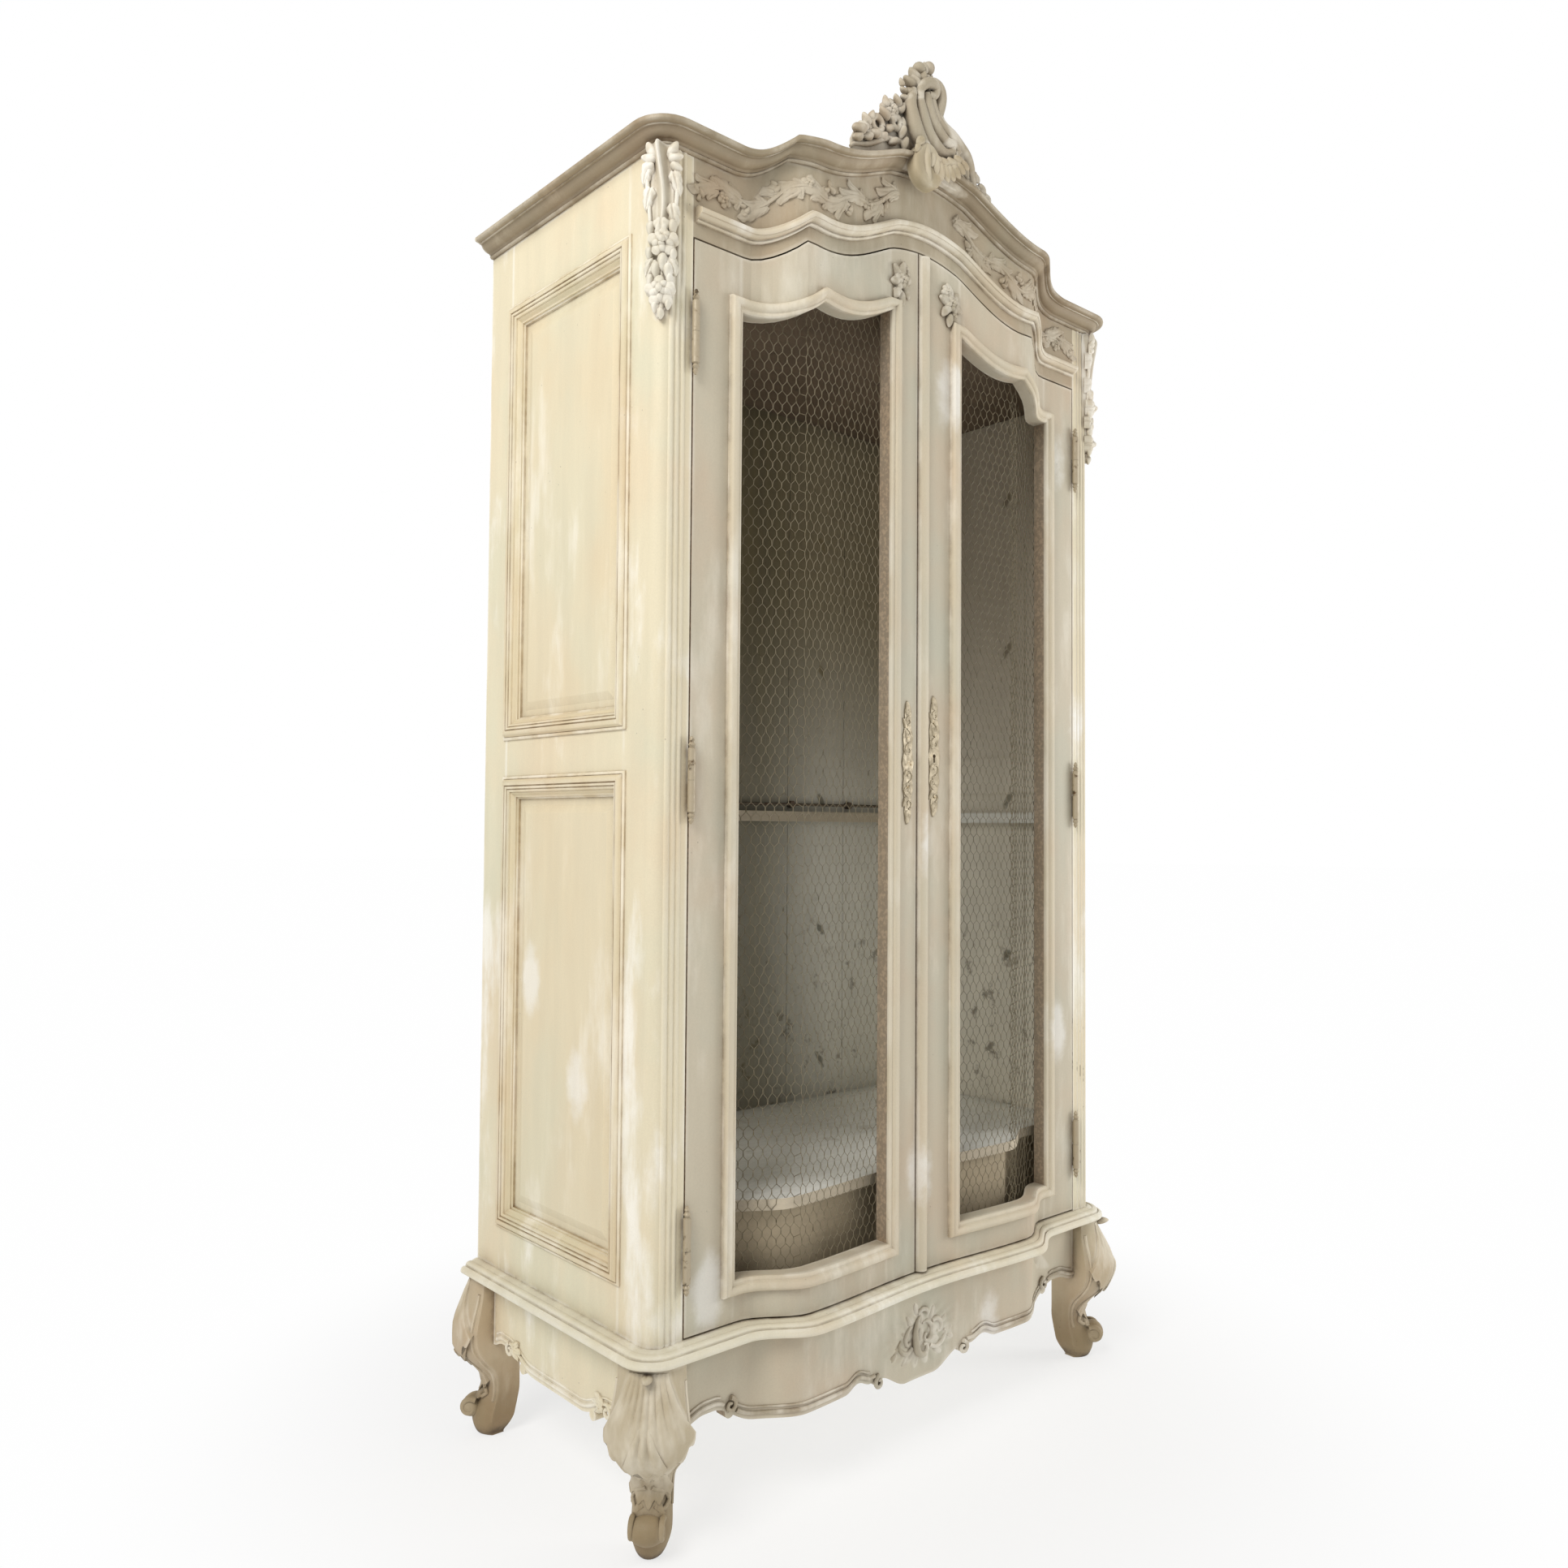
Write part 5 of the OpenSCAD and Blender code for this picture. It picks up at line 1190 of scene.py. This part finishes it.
# X, how far its centre is lifted and the radius of each small drop of the edge
EDGE_DROPS = ((0.397, 0.0023, 0.010), (0.107, 0.0007, 0.011))
APRON_SCROLLS = (
    (5, 10, ((-2, 226, 3, 2.4), (-10, 220, 5, 3.6), (-16, 206, 6, 5), (-17, 190, 7, 6),
             (-13, 174, 7, 6.4), (-3, 163, 6, 5.6), (9, 161, 5, 4.6), (16, 168, 4, 3.8),
             (14, 177, 4, 3.2), (7, 177, 4, 2.6))),
    (5, 9, ((4, 214, 3, 2.2), (14, 216, 4, 3), (24, 208, 5, 4), (27, 195, 5, 4.4),
            (22, 184, 5, 4), (13, 182, 4, 3.2), (9, 190, 4, 2.6), (14, 195, 4, 2.2))),
    (4, 9, ((-20, 214, 1, 3), (-32, 210, 3, 4), (-40, 198, 3, 4.5), (-36, 186, 3, 4),
            (-28, 188, 3, 3))),
    (4, 9, ((-22, 178, 2, 4), (-36, 172, 3, 4.5), (-50, 178, 3, 4), (-56, 190, 2, 3),
            (-50, 196, 2, 2.4))),
    (4, 9, ((30, 212, 2, 4), (42, 214, 3, 4.5), (52, 204, 3, 4), (50, 192, 2, 3.4),
            (42, 192, 2, 2.6))),
    (4, 9, ((24, 172, 2, 4), (38, 166, 3, 4), (54, 172, 3, 4), (64, 184, 2, 3),
            (60, 190, 2, 2.2))),
    (4, 9, ((-6, 232, 1, 3), (4, 238, 3, 4), (16, 234, 3, 3.6), (18, 226, 2, 2.6))))
APRON_BUDS = (
    (-28, 222, 130, 8), (-46, 206, 160, 7), (-62, 184, 190, 7), (-40, 162, 230, 7),
    (-12, 154, 260, 7), (12, 156, 290, 8), (30, 226, 60, 8), (58, 210, 40, 7),
    (70, 190, 0, 7), (46, 158, 320, 7), (-24, 198, 180, 8), (-24, 166, 220, 8),
    (34, 198, 0, 9), (34, 182, -20, 8), (2, 222, 90, 8), (-10, 240, 100, 7), (76, 176, -30, 6),
    (-70, 172, 210, 6), (0, 196, 80, 9), (2, 184, 250, 8))
RIBS = ((0.010, 0.0034), (0.019, 0.0018))
RIB_RUNS = (((0.118, 0.384), (0.410, 0.500)), ((0.130, 0.384), (0.416, 0.490)))


def apron_edge(x):
    low = apron_z(x)
    for at, lift, r in EDGE_DROPS:
        off = abs(abs(x) - at)
        if off < r:
            low = min(low, apron_z(at) + lift - sqrt(r * r - off * off))
    return low


def apron():
    """The front apron, with a soft rocaille ground in its middle."""
    bm = bmesh.new()
    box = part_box("front_apron")
    end, top = box[1][0], box[1][2]

    def spot(t, s):
        x = end * (2 * t - 1)
        z = apron_edge(x) + (top - apron_edge(x)) * s
        u, v = x / 0.088, (z - 0.193) / 0.050
        far = u * u + v * v
        wave = (sin(130 * x + 60 * z) * cos(150 * z - 40 * x)
                + 0.6 * sin(310 * x - 120 * z) * sin(260 * z + 90 * x))
        turned = (0.0012 * sin(21 * atan2(v, u))
                  * exp(-((sqrt(far) - 0.85) / 0.22) ** 2))
        return (x, z, exp(-(far ** 2.2)) * (0.0030 + 0.0011 * wave) + turned)
    close_behind(bm, sheet(bm, 520, 40, spot), -0.022)
    lay_on_front(bm, -0.004)
    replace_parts(keep("apron_board", bm, front_paint), "front_apron")


def apron_carving():
    bm = bmesh.new()
    for steps, sides, points in APRON_SCROLLS:
        stem(bm, points, steps, sides)
    buds(bm, APRON_BUDS, -0.001, 1.25, 0.52)
    for s in (-1, 1):
        for x, z, turn in ((0.108, 0.146, -1), (0.397, 0.180, 1)):
            tube(bm, spiral(s * x, z, 0.012, 0.003, 90, 90 + turn * s * 400, 0.0040, 0.0026,
                            0.003, 24), 8)
        for (lift, r), runs in zip(RIBS, RIB_RUNS):
            for run in runs:
                tube(bm, [(s * x, apron_z(x) + lift, 0.0010, r) for x in evenly(*run, 60)], 7)
    lay_on_front(bm, -0.004)
    keep("apron_carving", bm, carving_paint)


def side_leaf(bm, place, side, face, length):
    """A blade laid on the side apron."""
    small = bmesh.new()
    blade(small, place, length, 0.016, 0.006, nx=10, ny=6)
    for v in small.verts:
        v.co = Vector((side * (face + v.co.z), v.co.x, v.co.y))
    moved = bpy.data.meshes.new("moved")
    small.to_mesh(moved)
    small.free()
    bm.from_mesh(moved)
    bpy.data.meshes.remove(moved)


def side_apron_carving():
    bm = bmesh.new()
    face = max(abs(v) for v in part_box("side_aprons")[1][:1])
    middle = (FRONT + BACK) / 2
    for s in (-1, 1):
        for lift, r in RIBS:
            tube(bm, [(s * face, y, side_apron_z(y) + lift, r)
                      for y in evenly(middle - 0.196, middle + 0.196, 70)], 7, free=True)
        for t in (-1, 1):
            roll = spiral(middle + t * 0.150, 0.176, 0.012, 0.003, 90, 90 - t * 400, 0.0040,
                          0.0026, 0, 24)
            tube(bm, [(s * (face + 0.001), q[0], q[1], q[3]) for q in roll], 8, free=True)
            for angle, length in ((0, 30), (34, 26), (-34, 26)):
                side_leaf(bm, flat_place(middle + t * 0.140, 0.182, 90 + t * (90 + angle)),
                          s, face, length * MM)
    keep("side_apron_carving", bm, side_paint)


mouldings()
for side, name in SIDES:
    netting(side, name)
garland()
crest()
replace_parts([bracket(side, name) for side, name in SIDES][0], "corner_brackets")
door_ornaments()
for back in (False, True):
    for side, name in SIDES:
        leg("leg_" + ("back_" if back else "front_") + name, side, back)
apron()
apron_carving()
side_apron_carving()


# Setting: pale floor, soft studio light and the camera of the photograph

def link(obj):
    bpy.context.scene.collection.objects.link(obj)
    return obj


def lamp(name, place, target, size, power, colour):
    data = bpy.data.lights.new(name, "AREA")
    data.shape = "RECTANGLE"
    data.size, data.size_y = size
    data.energy = power
    data.color = colour
    obj = link(bpy.data.objects.new(name, data))
    obj.location = place
    obj.rotation_euler = (Vector(target) - Vector(place)).to_track_quat("-Z", "Y").to_euler()


def studio_sky():
    """White where it is looked at, and weaker as a light."""
    world = bpy.data.worlds.new("studio")
    bpy.context.scene.world = world
    world.use_nodes = True
    w = Wiring(world.node_tree)
    rays = w.add("LightPath").outputs
    seen = w.math("MAXIMUM", rays["Is Camera Ray"],
                  w.math("MAXIMUM", rays["Is Glossy Ray"], rays["Is Transmission Ray"]))
    sky = world.node_tree.nodes["Background"].inputs
    sky["Color"].default_value = (1, 1, 1, 1)
    w.join(w.times_plus(seen, 0.65, 0.35), sky["Strength"])


def studio_floor():
    """A pale floor that turns white away from the cupboard."""
    material, w, shader, place = finish_of("pale_floor")
    across = w.parts(place)
    far = w.math("SQRT", w.math("ADD", w.times(across["X"], across["X"]),
                                w.times(across["Y"], across["Y"])))
    tint = w.mix(w.noise(place, 3.0, 2), (0.93, 0.93, 0.925, 1), (0.95, 0.95, 0.945, 1))
    w.put(shader.inputs["Base Color"], tint)
    w.put(shader.inputs["Roughness"], 0.9)
    white = w.add("Emission", {"Color": (1, 1, 1, 1), "Strength": 0.995})
    blend = w.add("MixShader", {0: w.step(far, 0.45, 1.3, 0.66, 1.0), 1: shader.outputs[0],
                                2: white.outputs[0]})
    w.join(blend.outputs[0], material.node_tree.nodes["Material Output"].inputs["Surface"])
    bm = bmesh.new()
    bmesh.ops.create_circle(bm, cap_ends=True, segments=96, radius=40)
    mesh = bpy.data.meshes.new("studio_floor")
    bm.to_mesh(mesh)
    bm.free()
    mesh.materials.append(material)
    link(bpy.data.objects.new("studio_floor", mesh))


studio_sky()
lamp("side_light", (-3.9, -1.4, 4.2), (0, 0, 1.1), (2.2, 2.2), 156, (1.0, 0.985, 0.955))
lamp("front_fill", (3.2, -2.1, 1.4), (0.2, 0, 0.8), (1.4, 1.6), 56, (1.0, 0.99, 0.97))
studio_floor()

# The camera was solved from the straight edges of the case in the photograph
CAMERA_PLACE = (-1.63396, -1.73237, 1.07450)
RIGHT = Vector((0.74907892, -0.66244065, 0.00729128))
DOWN = Vector((0.02893781, 0.021723, -0.99934514))
AHEAD = Vector((0.66184846, 0.74879937, 0.03544183))
camera = link(bpy.data.objects.new("photo_camera", bpy.data.cameras.new("photo_camera")))
camera.data.lens = 28.467
camera.data.sensor_width = 36
camera.data.clip_end = 200
camera.matrix_world = Matrix.Translation(CAMERA_PLACE) @ Matrix(
    (RIGHT, -DOWN, -AHEAD)).transposed().to_4x4()
scene = bpy.context.scene
scene.camera = camera
scene.view_settings.view_transform = "Standard"
